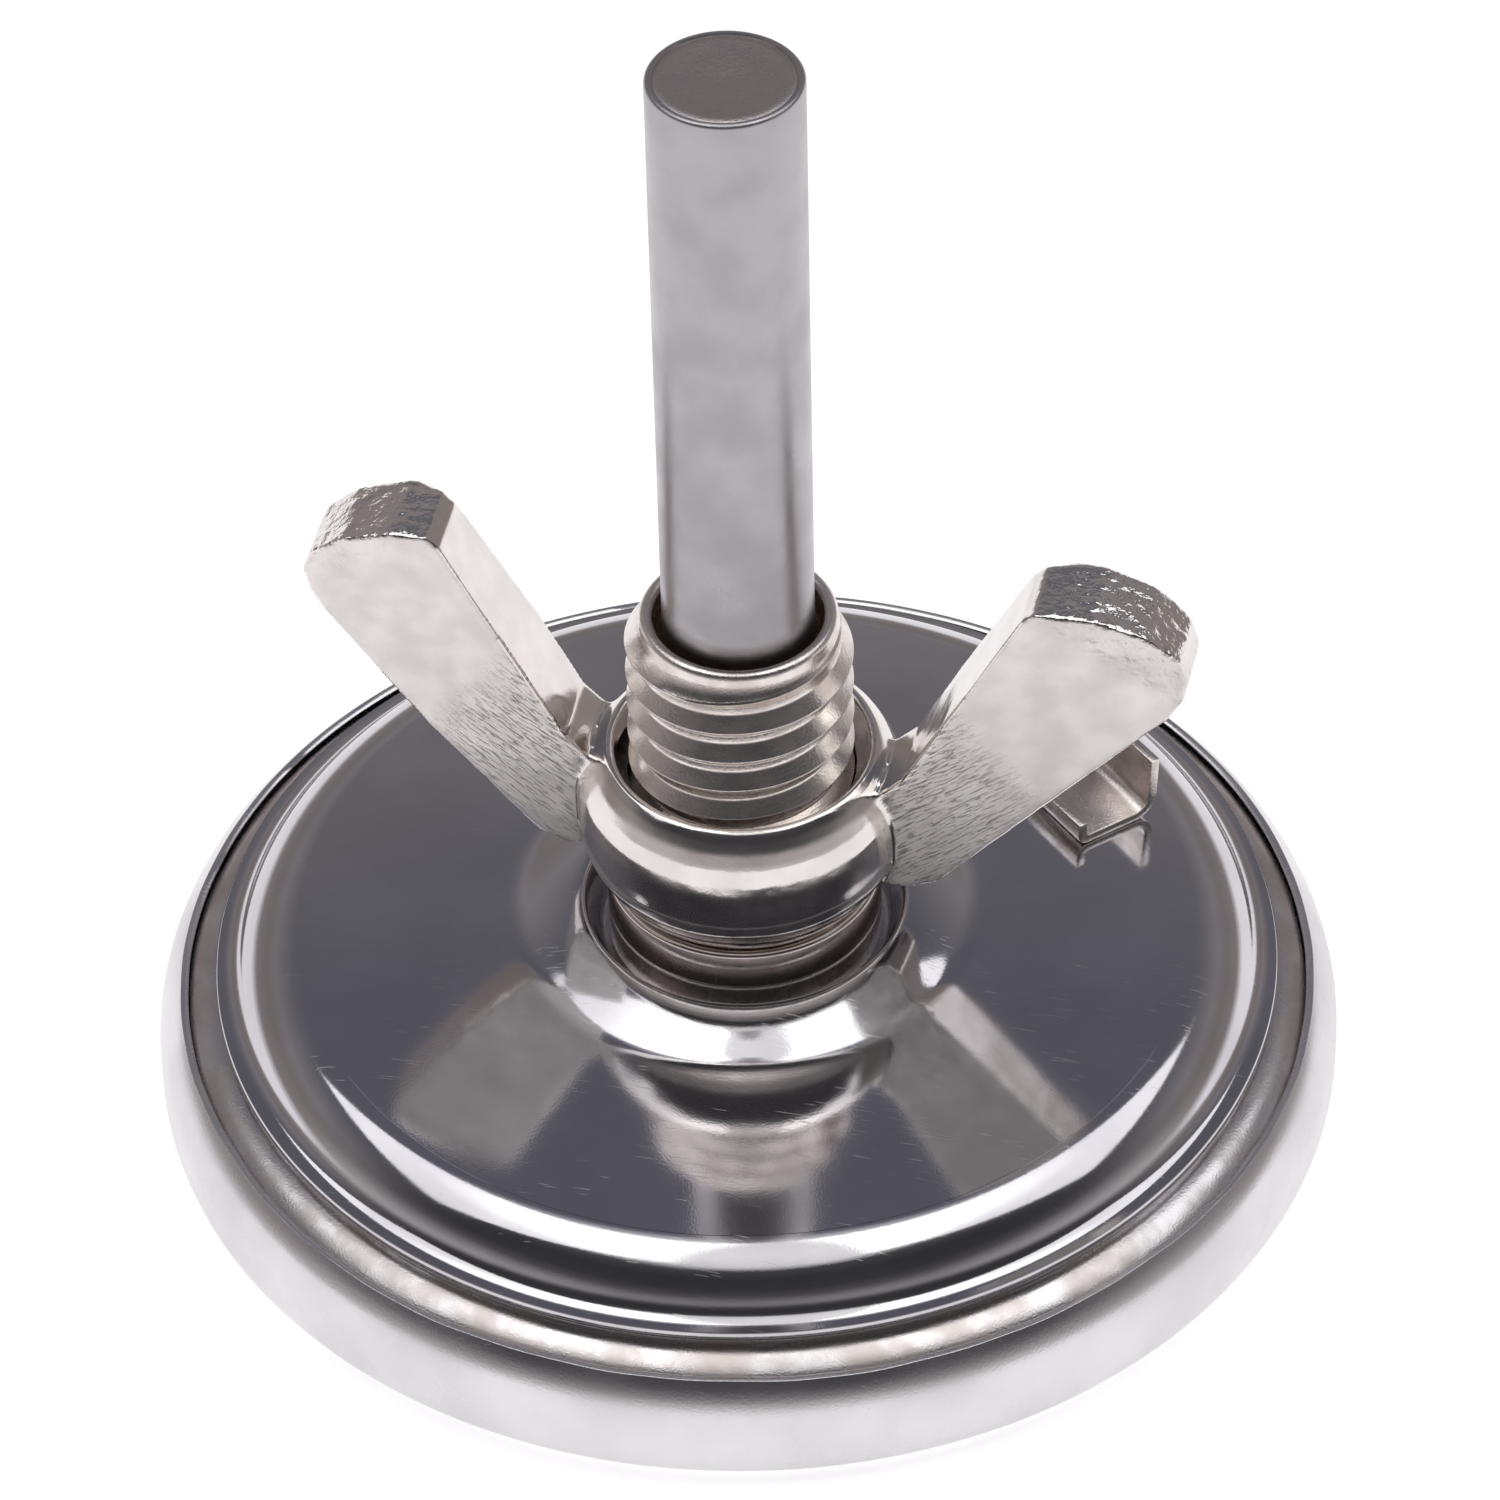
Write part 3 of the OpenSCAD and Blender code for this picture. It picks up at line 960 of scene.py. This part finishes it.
    @staticmethod
    def ease(points: list[Point], rounds: int) -> list[Point]:
        """Rounds the corners of a run of points by averaging neighbours.

        Args:
            points: The points.
            rounds: How often they are averaged.

        Returns:
            The eased points, with both ends where they were.
        """
        for _ in range(rounds):
            middle = [
                ((a[0] + 2 * b[0] + c[0]) / 4, (a[1] + 2 * b[1] + c[1]) / 4)
                for a, b, c in zip(points, points[1:], points[2:])
            ]
            points = [points[0]] + middle + [points[-1]]
        return points

    @staticmethod
    def steps(first: float, last: float, count: int) -> list[float]:
        """Evenly spaced values after the first one, up to the last."""
        return [first + (last - first) * (i + 1) / count for i in range(count)]

    def build(self) -> None:
        """Builds the three pieces."""
        self.bezel()
        self.band()
        self.cover()


# ---------------------------------------------------------------- the stud and the probe


@dataclass
class Stud:
    """The hollow stud with its shoulder, neck, rolled thread and rounded mouth, and the braze inside."""

    thread_r: float = 4.7625
    pitch: float = 1.5875
    depth: float = 0.55
    spigot_r: float = 4.15
    spigot_z: float = 4.85
    seat_z: float = 7.85
    shoulder_r: float = 5.85
    shoulder_top: float = 9.3
    thread_from: float = 11.2
    top: float = 25.35
    bore_r: float = 3.5
    bore_z: float = 12.0
    probe_r: float = 3.175

    def ridge(self) -> list[Point]:
        """One pitch of the thread's section, root to root.

        Returns:
            The points as (radius, height above the start), first and last one pitch apart.
        """
        root, crest, p = self.thread_r - self.depth, self.thread_r, self.pitch
        section = Turning(closed=False)
        section.to(root, 0).to(root, 0.12 * p, 0.2)
        section.to(crest, 0.46 * p, 0.04).to(crest, 0.51 * p, 0.04)
        section.to(root, 0.88 * p, 0.2).to(root, p)
        return section.points()

    def thread(self, low: float, high: float, steps: int) -> bpy.types.Object:
        """Sweeps the ridge up the shank and lets it run out at both ends.

        Args:
            low: Where the thread starts.
            high: Where it ends.
            steps: Steps around.

        Returns:
            The threaded skin, an open tube with a plain ring at each end, in mm.
        """
        root = self.thread_r - self.depth
        start = low - 2 * self.pitch
        obj = Bench.chain("thread", [(r, start + z) for r, z in self.ridge()])
        bpy.ops.object.mode_set(mode="OBJECT")
        Bench.settle(obj)
        turns = math.ceil((high - start) / self.pitch) + 1
        Bench.apply(
            obj,
            "SCREW",
            angle=2 * math.pi,
            steps=steps,
            render_steps=steps,
            screw_offset=self.pitch,
            iterations=turns,
            use_merge_vertices=True,
            merge_threshold=0.001,
        )
        for vertex in obj.data.vertices:
            x, y, z = vertex.co
            r = math.hypot(x, y)
            fade = min(1.0, max(0.0, (high - z) / 0.55)) * min(1.0, max(0.0, (z - low) / 0.9))
            wanted = root + (r - root) * fade
            vertex.co = (x * wanted / r, y * wanted / r, min(high, max(low, z)))
        return obj

    def shank(self) -> bpy.types.Object:
        """Turns the shank and joins the thread to it.

        Returns:
            The finished piece.
        """
        root, steps = self.thread_r - self.depth, 144
        high = self.top - 0.62
        section = Turning(closed=False).to(root, high)
        lip_r, lip_z = 3.84, self.top - 0.36
        turns = [math.pi * i / 14 for i in range(15)]
        section.run([(lip_r + 0.34 * math.cos(a), lip_z + 0.36 * math.sin(a)) for a in turns])
        section.to(self.bore_r, lip_z - 0.3).to(self.bore_r, self.bore_z)
        section.to(self.probe_r, self.bore_z).to(self.probe_r, self.spigot_z)
        section.to(self.spigot_r, self.spigot_z).to(self.spigot_r, self.seat_z)
        top = self.shoulder_top - 0.02
        section.to(self.shoulder_r, self.seat_z).to(self.shoulder_r, top, 0.12)
        section.to(root, top).to(root, self.thread_from)
        obj = Bench.lathe("stud", section.points(), steps)
        thread = self.thread(self.thread_from, high, steps)
        Bench.hold(thread)
        obj.select_set(True)
        bpy.context.view_layer.objects.active = obj
        bpy.ops.object.join()
        bpy.ops.object.mode_set(mode="EDIT")
        Bench.close(0.002)
        bpy.ops.object.mode_set(mode="OBJECT")
        return Bench.finish(obj, "ThreadedStud", Body.CASE, Finish.stud_nickel, ("threaded_stud",), 50)

    def braze(self) -> bpy.types.Object:
        """Turns the fillet of braze deep in the mouth.

        Returns:
            The finished piece.
        """
        low = self.top - 1.45
        points = [(self.probe_r + 0.03, low), (self.bore_r, low), (self.bore_r, low + 0.5)]
        points += [(3.42, low + 0.36), (3.34, low + 0.3), (3.26, low + 0.36)]
        points.append((self.probe_r + 0.01, low + 0.5))
        obj = Bench.lathe("braze", points + [points[0]], 96)
        return Bench.finish(obj, "BrazeFillet", Body.CASE, Finish.braze, ("braze_ring",), 60)

    def build(self) -> None:
        """Builds the stud and its braze."""
        self.shank()
        self.braze()


@dataclass
class Probe:
    """The straight probe with its closed tip."""

    radius: float = 3.175
    bore: float = 2.845
    foot: float = 5.0
    tip: float = 52.8

    def tube(self) -> bpy.types.Object:
        """Turns the tube with a bright bevelled rim.

        Returns:
            The finished piece.
        """
        rows = [(self.radius, self.foot + (self.tip - 0.2 - self.foot) * i / 24) for i in range(25)]
        points = [(self.bore, self.foot)] + rows
        rim = ((0.01, 0.12), (0.06, 0.045), (0.16, 0.0))
        points += [(self.radius - in_by, self.tip - down) for in_by, down in rim]
        points += [(self.bore + 0.05, self.tip), (self.bore, self.tip - 0.05)]
        obj = Bench.lathe("probe", points + [points[0]], 160)
        return Bench.finish(obj, "ProbeTube", Body.CASE, Finish.probe_steel, ("probe_tube",), 40)

    def end(self) -> bpy.types.Object:
        """Turns the disc that closes the tip, slightly hollow with a soft edge.

        Returns:
            The finished piece.
        """
        low = self.tip - 0.9
        high = self.tip - 0.02
        points = [(0.0, low), (self.bore, low), (self.bore, high - 0.05)]
        points += [(self.bore - 0.12, high), (self.bore - 0.35, high - 0.01)]
        hollow = ((2.0, 0.03), (1.2, 0.045), (0.6, 0.04), (0.3, 0.06), (0.0, 0.07))
        points += [(r, high - down) for r, down in hollow]
        obj = Bench.lathe("probe_end", points + [points[0]], 128)
        return Bench.finish(obj, "ProbeEnd", Body.CASE, Finish.probe_tip, ("probe_plug",), 40)

    def build(self) -> None:
        """Builds the probe's two pieces."""
        self.tube()
        self.end()


# ---------------------------------------------------------------- the nut


@dataclass
class WingNut:
    """The forged wing nut and the ring that lifts with it."""

    base: float = 11.2
    hub_r: float = 6.95
    boss_r: float = 5.55
    height: float = 7.0
    bore: float = 4.8325
    right_tip: float = 19.1
    left_tip: float = 18.25
    thick_in: float = 3.8
    thick_out: float = 1.3
    lean: float = 36.0
    voxel: float = 0.13
    ring_z: float = 9.32
    ring_t: float = 1.83
    ring_r: float = 5.85

    def hub(self) -> bpy.types.Object:
        """Turns the hub with its bore and countersunk mouth.

        Returns:
            The hub, in mm.
        """
        b, t = self.base, self.base + self.height
        points = [(self.bore, b), (self.boss_r - 0.12, b), (self.boss_r, b + 0.1)]
        points += [(6.0, b + 0.6), (6.4, b + 1.25), (6.72, b + 1.9), (6.9, b + 2.6)]
        points += [(self.hub_r, b + 3.3), (self.hub_r, b + 4.3), (6.88, b + 5.0)]
        points += [(6.68, b + 5.65), (6.36, b + 6.25), (6.0, b + 6.7), (5.72, b + 6.93), (5.6, t)]
        points += [(5.42, t - 0.12), (self.bore + 0.42, t - 0.5)]
        points += [(self.bore + 0.12, t - 0.9), (self.bore, t - 1.2)]
        return Bench.lathe("hub", points + [points[0]], 128)

    def wing(self, tip: float) -> bpy.types.Object:
        """Cuts one wing: its outline, thinned from the inner to the outer edge.

        Args:
            tip: How far out it reaches.

        Returns:
            The wing on the +X side, in mm.
        """
        outline = [(5.1, 12.6), (7.3, 12.15), (8.6, 12.7), (10.9, 15.2), (13.2, 17.8)]
        outline += [(tip - 0.9, 23.4), (tip - 0.25, 24.6), (tip, 25.8), (tip - 0.4, 26.8)]
        outline += [(tip - 1.8, 27.9), (tip - 4.0, 28.65), (12.7, 28.75), (12.15, 28.3)]
        outline += [(7.2, 18.6), (6.3, 17.7), (5.3, 17.4)]
        wing = Bench.slab("wing", outline, -3.0, 3.0)
        half_in, half_out = self.thick_in / 2, self.thick_out / 2
        section = [(-9.0, -half_out), (4.6, -half_in), (4.6, half_in - 0.7)]
        section += [(3.4, half_in), (1.4, half_in + 0.02), (-0.6, half_in - 0.12)]
        section += [(-4.6, half_out + 0.1), (-9.0, half_out - 0.2)]
        cutter = Bench.slab("cutter", [(-u, v) for u, v in section], -20.0, 20.0)
        Bench.hold(cutter)
        turn = Matrix.Translation((11.2, 0, 19.2)) @ Matrix.Rotation(math.radians(self.lean), 4, "Y")
        cutter.matrix_world = turn @ Matrix(((1, 0, 0, 0), (0, 0, 1, 0), (0, 1, 0, 0), (0, 0, 0, 1)))
        Bench.settle(cutter)
        self.outward(cutter)
        Bench.combine(wing, cutter, "INTERSECT")
        return wing

    @staticmethod
    def outward(obj: bpy.types.Object) -> None:
        """Turns a solid's faces outwards."""
        Bench.hold(obj)
        bpy.ops.object.mode_set(mode="EDIT")
        Bench.close()
        bpy.ops.object.mode_set(mode="OBJECT")

    def forge(self) -> bpy.types.Object:
        """Joins hub and wings and gives them the soft edges and skin of a forging.

        Returns:
            The finished piece.
        """
        hub = self.hub()
        right = self.wing(self.right_tip)
        left = self.wing(self.left_tip)
        left.scale = (-1, 1, 1)
        Bench.settle(left)
        self.outward(left)
        Bench.combine(hub, right, "UNION")
        Bench.combine(hub, left, "UNION")
        low, high = self.base - 1, 30
        bit = [(0, low), (self.bore, low), (self.bore, 16.9), (5.5, 18.25), (5.7, high), (0, high), (0, low)]
        drill = Bench.lathe("drill", bit, 128)
        Bench.combine(hub, drill, "DIFFERENCE")
        Bench.apply(hub, "REMESH", mode="VOXEL", voxel_size=self.voxel, adaptivity=0.0)
        Bench.apply(hub, "SMOOTH", factor=0.5, iterations=3)
        Bench.roughen(hub, 2.4, 0.05, 1)
        return Bench.finish(hub, "WingNut", Body.NUT, Finish.nut_nickel, ("wing_nut",), 180)

    def ring(self) -> bpy.types.Object:
        """Turns the plain ring under the nut.

        Returns:
            The finished piece.
        """
        section = Turning()
        section.to(self.bore, self.ring_z).to(self.ring_r, self.ring_z, 0.1)
        section.to(self.ring_r, self.ring_z + self.ring_t, 0.18).to(self.bore, self.ring_z + self.ring_t)
        obj = Bench.lathe("ring", section.points(), 160)
        return Bench.finish(obj, "NutRing", Body.NUT_RING, Finish.washer_nickel, ("nut_washer",), 40)

    def build(self) -> None:
        """Builds the nut and its ring."""
        self.forge()
        self.ring()


# ---------------------------------------------------------------- the clip


@dataclass
class Clip:
    """The bent strip on the dome that keeps the case from turning."""

    thickness: float = 0.45
    width: float = 4.6
    foot: float = 4.2
    tab: float = 1.2
    outer: float = 3.1
    curl: float = 1.1
    place: tuple[float, float, float] = (13.08, 9.45, 8.46)
    turn: float = 47.0
    fall: float = 3.1
    lean: float = 0.6

    def build(self) -> bpy.types.Object:
        """Bends the strip along its line and places it on the dome.

        Returns:
            The finished piece.
        """
        half = self.thickness / 2
        section = Turning(closed=False)
        end = self.foot - half
        section.to(half, self.tab).to(half, half, 0.35)
        section.to(end, half, self.curl - half).to(end, self.outer)
        line = section.points()
        obj = Bench.chain("clip", line)
        bpy.ops.mesh.select_all(action="SELECT")
        bpy.ops.mesh.extrude_region_move(TRANSFORM_OT_translate={"value": (0, self.width, 0)})
        bpy.ops.object.mode_set(mode="OBJECT")
        Bench.settle(obj)
        obj.location = (-self.foot / 2, -self.width / 2, 0)
        Bench.settle(obj)
        Bench.apply(obj, "SOLIDIFY", thickness=self.thickness, offset=0.0, use_even_offset=True)
        WingNut.outward(obj)
        Bench.apply(obj, "BEVEL", width=0.06, segments=2, limit_method="ANGLE", angle_limit=math.radians(50))
        placed = Matrix.Translation(self.place)
        for degrees, axis in ((self.turn, "Z"), (self.fall, "Y"), (self.lean, "X")):
            placed @= Matrix.Rotation(math.radians(degrees), 4, axis)
        obj.matrix_world = placed
        Bench.settle(obj)
        return Bench.finish(obj, "AntiTurnClip", Body.CASE, Finish.clip_nickel, ("anti_turn_clip",), 40)


# ---------------------------------------------------------------- the dial side


@dataclass
class Dial:
    """What shows through the window: glass, dial, print and pointer. The glass and the print are made here;
    the dial and the pointer come from the imported model.
    """

    glass_r: float = 24.4
    glass_z: float = 0.8
    glass_t: float = 1.5
    dial_z: float = 4.0
    tick_r: float = 21.2
    ticks: int = 28
    sweep: float = 270.0
    rest: float = -225.0
    first: int = 50
    step: int = 50
    figure: float = 2.6

    def glass(self) -> bpy.types.Object:
        """Turns the window with ground edges.

        Returns:
            The finished piece.
        """
        top = self.glass_z + self.glass_t
        section = Turning().to(0, self.glass_z).to(self.glass_r, self.glass_z, 0.25)
        section.to(self.glass_r, top, 0.25).to(0, top)
        obj = Bench.lathe("glass", section.points(), 128)
        return Bench.finish(obj, "Window", Body.CASE, Finish.glass, ("glass_lens",), 50)

    def print(self) -> bpy.types.Object:
        """Prints the scale: the ticks and a figure at every third tick.

        Returns:
            The finished piece.
        """
        z = self.dial_z - 0.03
        pieces = []
        for i in range(self.ticks):
            long = i % 3 == 0
            length, wide = (2.6, 0.5) if long else (1.5, 0.24)
            Bench.clear()
            bpy.ops.mesh.primitive_cube_add(size=1)
            tick = bpy.context.object
            tick.scale = (length, wide, 0.05)
            Bench.settle(tick)
            turn = math.radians(self.rest + self.sweep * i / (self.ticks - 1))
            middle = Matrix.Translation((self.tick_r - length / 2, 0, z))
            tick.matrix_world = Matrix.Rotation(turn, 4, "Z") @ middle
            Bench.settle(tick)
            Bench.apply(tick, "BEVEL", width=0.02, segments=1)
            pieces.append(tick)
            if long:
                pieces.append(self.numeral(self.first + self.step * (i // 3), turn, z))
        Bench.clear()
        for piece in pieces:
            piece.select_set(True)
        bpy.context.view_layer.objects.active = pieces[0]
        bpy.ops.object.join()
        return Bench.finish(bpy.context.object, "DialPrint", Body.CASE, Finish.dial_print, ("dial_ticks",), 40)

    def numeral(self, value: int, turn: float, z: float) -> bpy.types.Object:
        """Cuts one figure of the scale, read from the front of the dial.

        Args:
            value: The number.
            turn: Its angle about the axis.
            z: Height of the print.

        Returns:
            The figure as a mesh, in mm.
        """
        Bench.clear()
        bpy.ops.object.text_add()
        text = bpy.context.object
        text.data.body = str(value)
        text.data.align_x = "CENTER"
        text.data.align_y = "CENTER"
        text.data.size = self.figure
        text.data.extrude = 0.02
        text.data.resolution_u = 3
        Bench.hold(text)
        bpy.ops.object.convert(target="MESH")
        made = bpy.context.object
        reach = self.tick_r - 5.0
        place = Matrix.Translation((reach * math.cos(turn), reach * math.sin(turn), z))
        made.matrix_world = place @ Matrix.Rotation(math.pi, 4, "X")
        Bench.settle(made)
        return made

    def build(self) -> None:
        """Builds the window and the print."""
        self.glass()
        self.print()


class Inside:
    """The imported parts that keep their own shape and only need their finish."""

    slots: dict[str, Finish] = {
        "lens_gasket": Finish.rubber,
        "dial_spacer": Finish.black_ring,
        "dial_plate": Finish.dial_face,
        "inner_washer": Finish.plain_steel,
        "inner_nut": Finish.plain_steel,
        "upper_bearing": Finish.brass,
        "lower_bearing": Finish.brass,
        "coil_anchor": Finish.brass,
        "bimetal_coil": Finish.bimetal,
        "spindle": Finish.plain_steel,
        "pointer_hub": Finish.brass,
        "pointer": Finish.pointer_paint,
        "pointer_stop": Finish.plain_steel,
    }

    def dress(self, nodes: dict[str, bpy.types.Object]) -> None:
        """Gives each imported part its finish.

        Args:
            nodes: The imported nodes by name.
        """
        for name, finish in self.slots.items():
            obj = nodes[name]
            obj.data.materials.clear()
            obj.data.materials.append(finish.material())
            log.info("%s: finish %s", name, finish.name)


# ---------------------------------------------------------------- the studio


@dataclass
class Studio:
    """A white table in a dark room under a bright ceiling with two soft boxes, and the camera."""

    azimuth: float = 13.0
    elevation: float = 42.23
    distance: float = 304.56
    target_x: float = 0.356
    target_z: float = 17.57
    roll: float = -1.377
    lens: float = 173.88
    box_size: float = 0.6
    box_reach: float = 0.9
    box_power: float = 1.3

    def camera(self) -> None:
        """Sets the camera."""
        turn, rise = math.radians(self.azimuth), math.radians(self.elevation)
        right = Vector((math.cos(turn), math.sin(turn), 0))
        back = Vector((math.cos(rise) * math.sin(turn), -math.cos(rise) * math.cos(turn), math.sin(rise)))
        up = back.cross(right)
        lean = math.radians(self.roll)
        r2 = math.cos(lean) * right + math.sin(lean) * up
        u2 = -math.sin(lean) * right + math.cos(lean) * up
        eye = (right * self.target_x + Vector((0, 0, self.target_z)) + back * self.distance) * MM
        data = bpy.data.cameras.new("Camera")
        data.lens = self.lens
        data.sensor_width = 36.0
        data.clip_start = 0.01
        data.clip_end = 20.0
        obj = bpy.data.objects.new("Camera", data)
        bpy.context.scene.collection.objects.link(obj)
        rows = [(r2[i], u2[i], back[i], eye[i]) for i in range(3)]
        obj.matrix_world = Matrix((*rows, (0, 0, 0, 1)))
        bpy.context.scene.camera = obj

    def table(self) -> None:
        """Lays the pale floor."""
        Bench.clear()
        bpy.ops.mesh.primitive_plane_add(size=6.0, location=(0, 0, -0.00005))
        obj = bpy.context.object
        obj.name = "Floor"
        Bench.settle(obj)
        mat = bpy.data.materials.new("floor")
        mat.use_nodes = True
        s = Sheet(mat.node_tree)
        shader = mat.node_tree.nodes["Principled BSDF"]
        shader.inputs["Base Color"].default_value = (0.92, 0.92, 0.93, 1)
        shader.inputs["Roughness"].default_value = 0.9
        shader.inputs["Specular IOR Level"].default_value = 0.1
        shader.inputs["Emission Color"].default_value = (1, 1, 1, 1)
        shader.inputs["Emission Strength"].default_value = 0.62
        paper = s.node("ShaderNodeBsdfPrincipled")
        paper.inputs["Base Color"].default_value = (0.60, 0.59, 0.60, 1)
        paper.inputs["Roughness"].default_value = 1.0
        paper.inputs["Specular IOR Level"].default_value = 0.0
        paper.inputs["Emission Color"].default_value = (1, 0.99, 1, 1)
        paper.inputs["Emission Strength"].default_value = 0.70
        choose = s.node("ShaderNodeMixShader")
        s.link(s.node("ShaderNodeLightPath").outputs["Is Camera Ray"], choose.inputs[0])
        s.link(paper.outputs[0], choose.inputs[1])
        s.link(shader.outputs[0], choose.inputs[2])
        s.link(choose.outputs[0], mat.node_tree.nodes["Material Output"].inputs["Surface"])
        obj.data.materials.append(mat)

    def room(self) -> None:
        """Sets the light from all around: dark walls, a bright ceiling, a pale horizon."""
        world = bpy.data.worlds.new("Room")
        world.use_nodes = True
        bpy.context.scene.world = world
        s = Sheet(world.node_tree)
        nodes = world.node_tree.nodes
        x, y, z = s.split(s.node("ShaderNodeTexCoord").outputs["Generated"])
        turn = math.radians(self.azimuth)
        aside, away = s.maths("MULTIPLY", x, -math.sin(turn)), s.maths("MULTIPLY", y, math.cos(turn))
        behind = s.maths("ADD", aside, away)
        far = self.ramp(s, z, (
            (0.0, (0.85, 0.85, 0.87)),
            (0.05, (0.60, 0.58, 0.58)),
            (0.11, (0.29, 0.26, 0.25)),
            (0.34, (0.24, 0.215, 0.21)),
            (0.50, (0.27, 0.25, 0.26)),
            (0.60, (0.21, 0.20, 0.215)),
            (0.72, (0.13, 0.13, 0.155)),
            (0.86, (0.13, 0.13, 0.16)),
            (0.95, (1.0, 1.0, 1.01)),
            (1.0, (1.1, 1.1, 1.1)),
        ))
        near = self.ramp(s, z, (
            (0.0, (0.60, 0.58, 0.58)),
            (0.17, (0.46, 0.44, 0.44)),
            (0.31, (0.28, 0.265, 0.27)),
            (0.46, (0.10, 0.095, 0.10)),
            (0.60, (0.05, 0.05, 0.055)),
            (0.80, (0.045, 0.045, 0.05)),
            (0.91, (0.07, 0.07, 0.08)),
            (0.95, (0.9, 0.9, 0.9)),
            (1.0, (1.1, 1.1, 1.1)),
        ))
        colour = s.mix(s.span(behind, -0.35, 0.35), near, far)
        room = nodes["Background"]
        s.link(colour, room.inputs["Color"])
        room.inputs["Strength"].default_value = 1.0
        plain = s.node("ShaderNodeBackground")
        plain.inputs["Color"].default_value = (1, 1, 1, 1)
        plain.inputs["Strength"].default_value = 1.0
        choose = s.node("ShaderNodeMixShader")
        s.link(s.node("ShaderNodeLightPath").outputs["Is Camera Ray"], choose.inputs[0])
        s.link(room.outputs[0], choose.inputs[1])
        s.link(plain.outputs[0], choose.inputs[2])
        s.link(choose.outputs[0], nodes["World Output"].inputs["Surface"])

    @staticmethod
    def ramp(s: Sheet, value: Socket, stops: tuple[tuple[float, Colour], ...]) -> Socket:
        """A colour ramp that may go above one.

        Args:
            s: The sheet.
            value: What runs along the ramp.
            stops: The stops as (position, colour).

        Returns:
            The colour socket.
        """
        made = s.node("ShaderNodeValToRGB")
        elements = made.color_ramp.elements
        while len(elements) < len(stops):
            elements.new(0.5)
        for element, (position, colour) in zip(elements, stops):
            element.position = position
            element.color = (*[c / 2.5 for c in colour], 1.0)
        s.link(value, made.inputs[0])
        bright = s.node("ShaderNodeVectorMath", operation="SCALE")
        s.link(made.outputs[0], bright.inputs[0])
        bright.inputs["Scale"].default_value = 2.5
        return bright.outputs[0]

    def box(self, name: str, azimuth: float, elevation: float) -> None:
        """Hangs a square soft box that faces the object.

        Args:
            name: The light's name.
            azimuth: Where it hangs, in degrees from the camera's side, to the right.
            elevation: How high it hangs, in degrees.
        """
        data = bpy.data.lights.new(name, "AREA")
        data.shape = "RECTANGLE"
        data.size = self.box_size
        data.size_y = self.box_size
        data.energy = self.box_power
        obj = bpy.data.objects.new(name, data)
        bpy.context.scene.collection.objects.link(obj)
        turn, rise = math.radians(self.azimuth + azimuth), math.radians(elevation)
        aim = Vector((math.sin(turn) * math.cos(rise), -math.cos(turn) * math.cos(rise), math.sin(rise)))
        obj.location = aim * self.box_reach + Vector((0, 0, 0.012))
        obj.rotation_euler = aim.to_track_quat("Z", "Y").to_euler()

    def build(self) -> None:
        """Sets up the studio."""
        self.camera()
        self.table()
        self.room()
        self.box("LeftBox", -105, 66)
        self.box("RightBox", 108, 63)
        view = bpy.context.scene.view_settings
        view.view_transform = "Standard"


def main() -> None:
    """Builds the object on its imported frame, then the studio."""
    logging.basicConfig(level=logging.INFO, format="%(message)s", stream=sys.stdout)
    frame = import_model()
    Case().build()
    Stud().build()
    Probe().build()
    WingNut().build()
    Clip().build()
    Dial().build()
    Inside().dress(frame["nodes"])
    Studio().build()


if __name__ == "__main__":
    main()
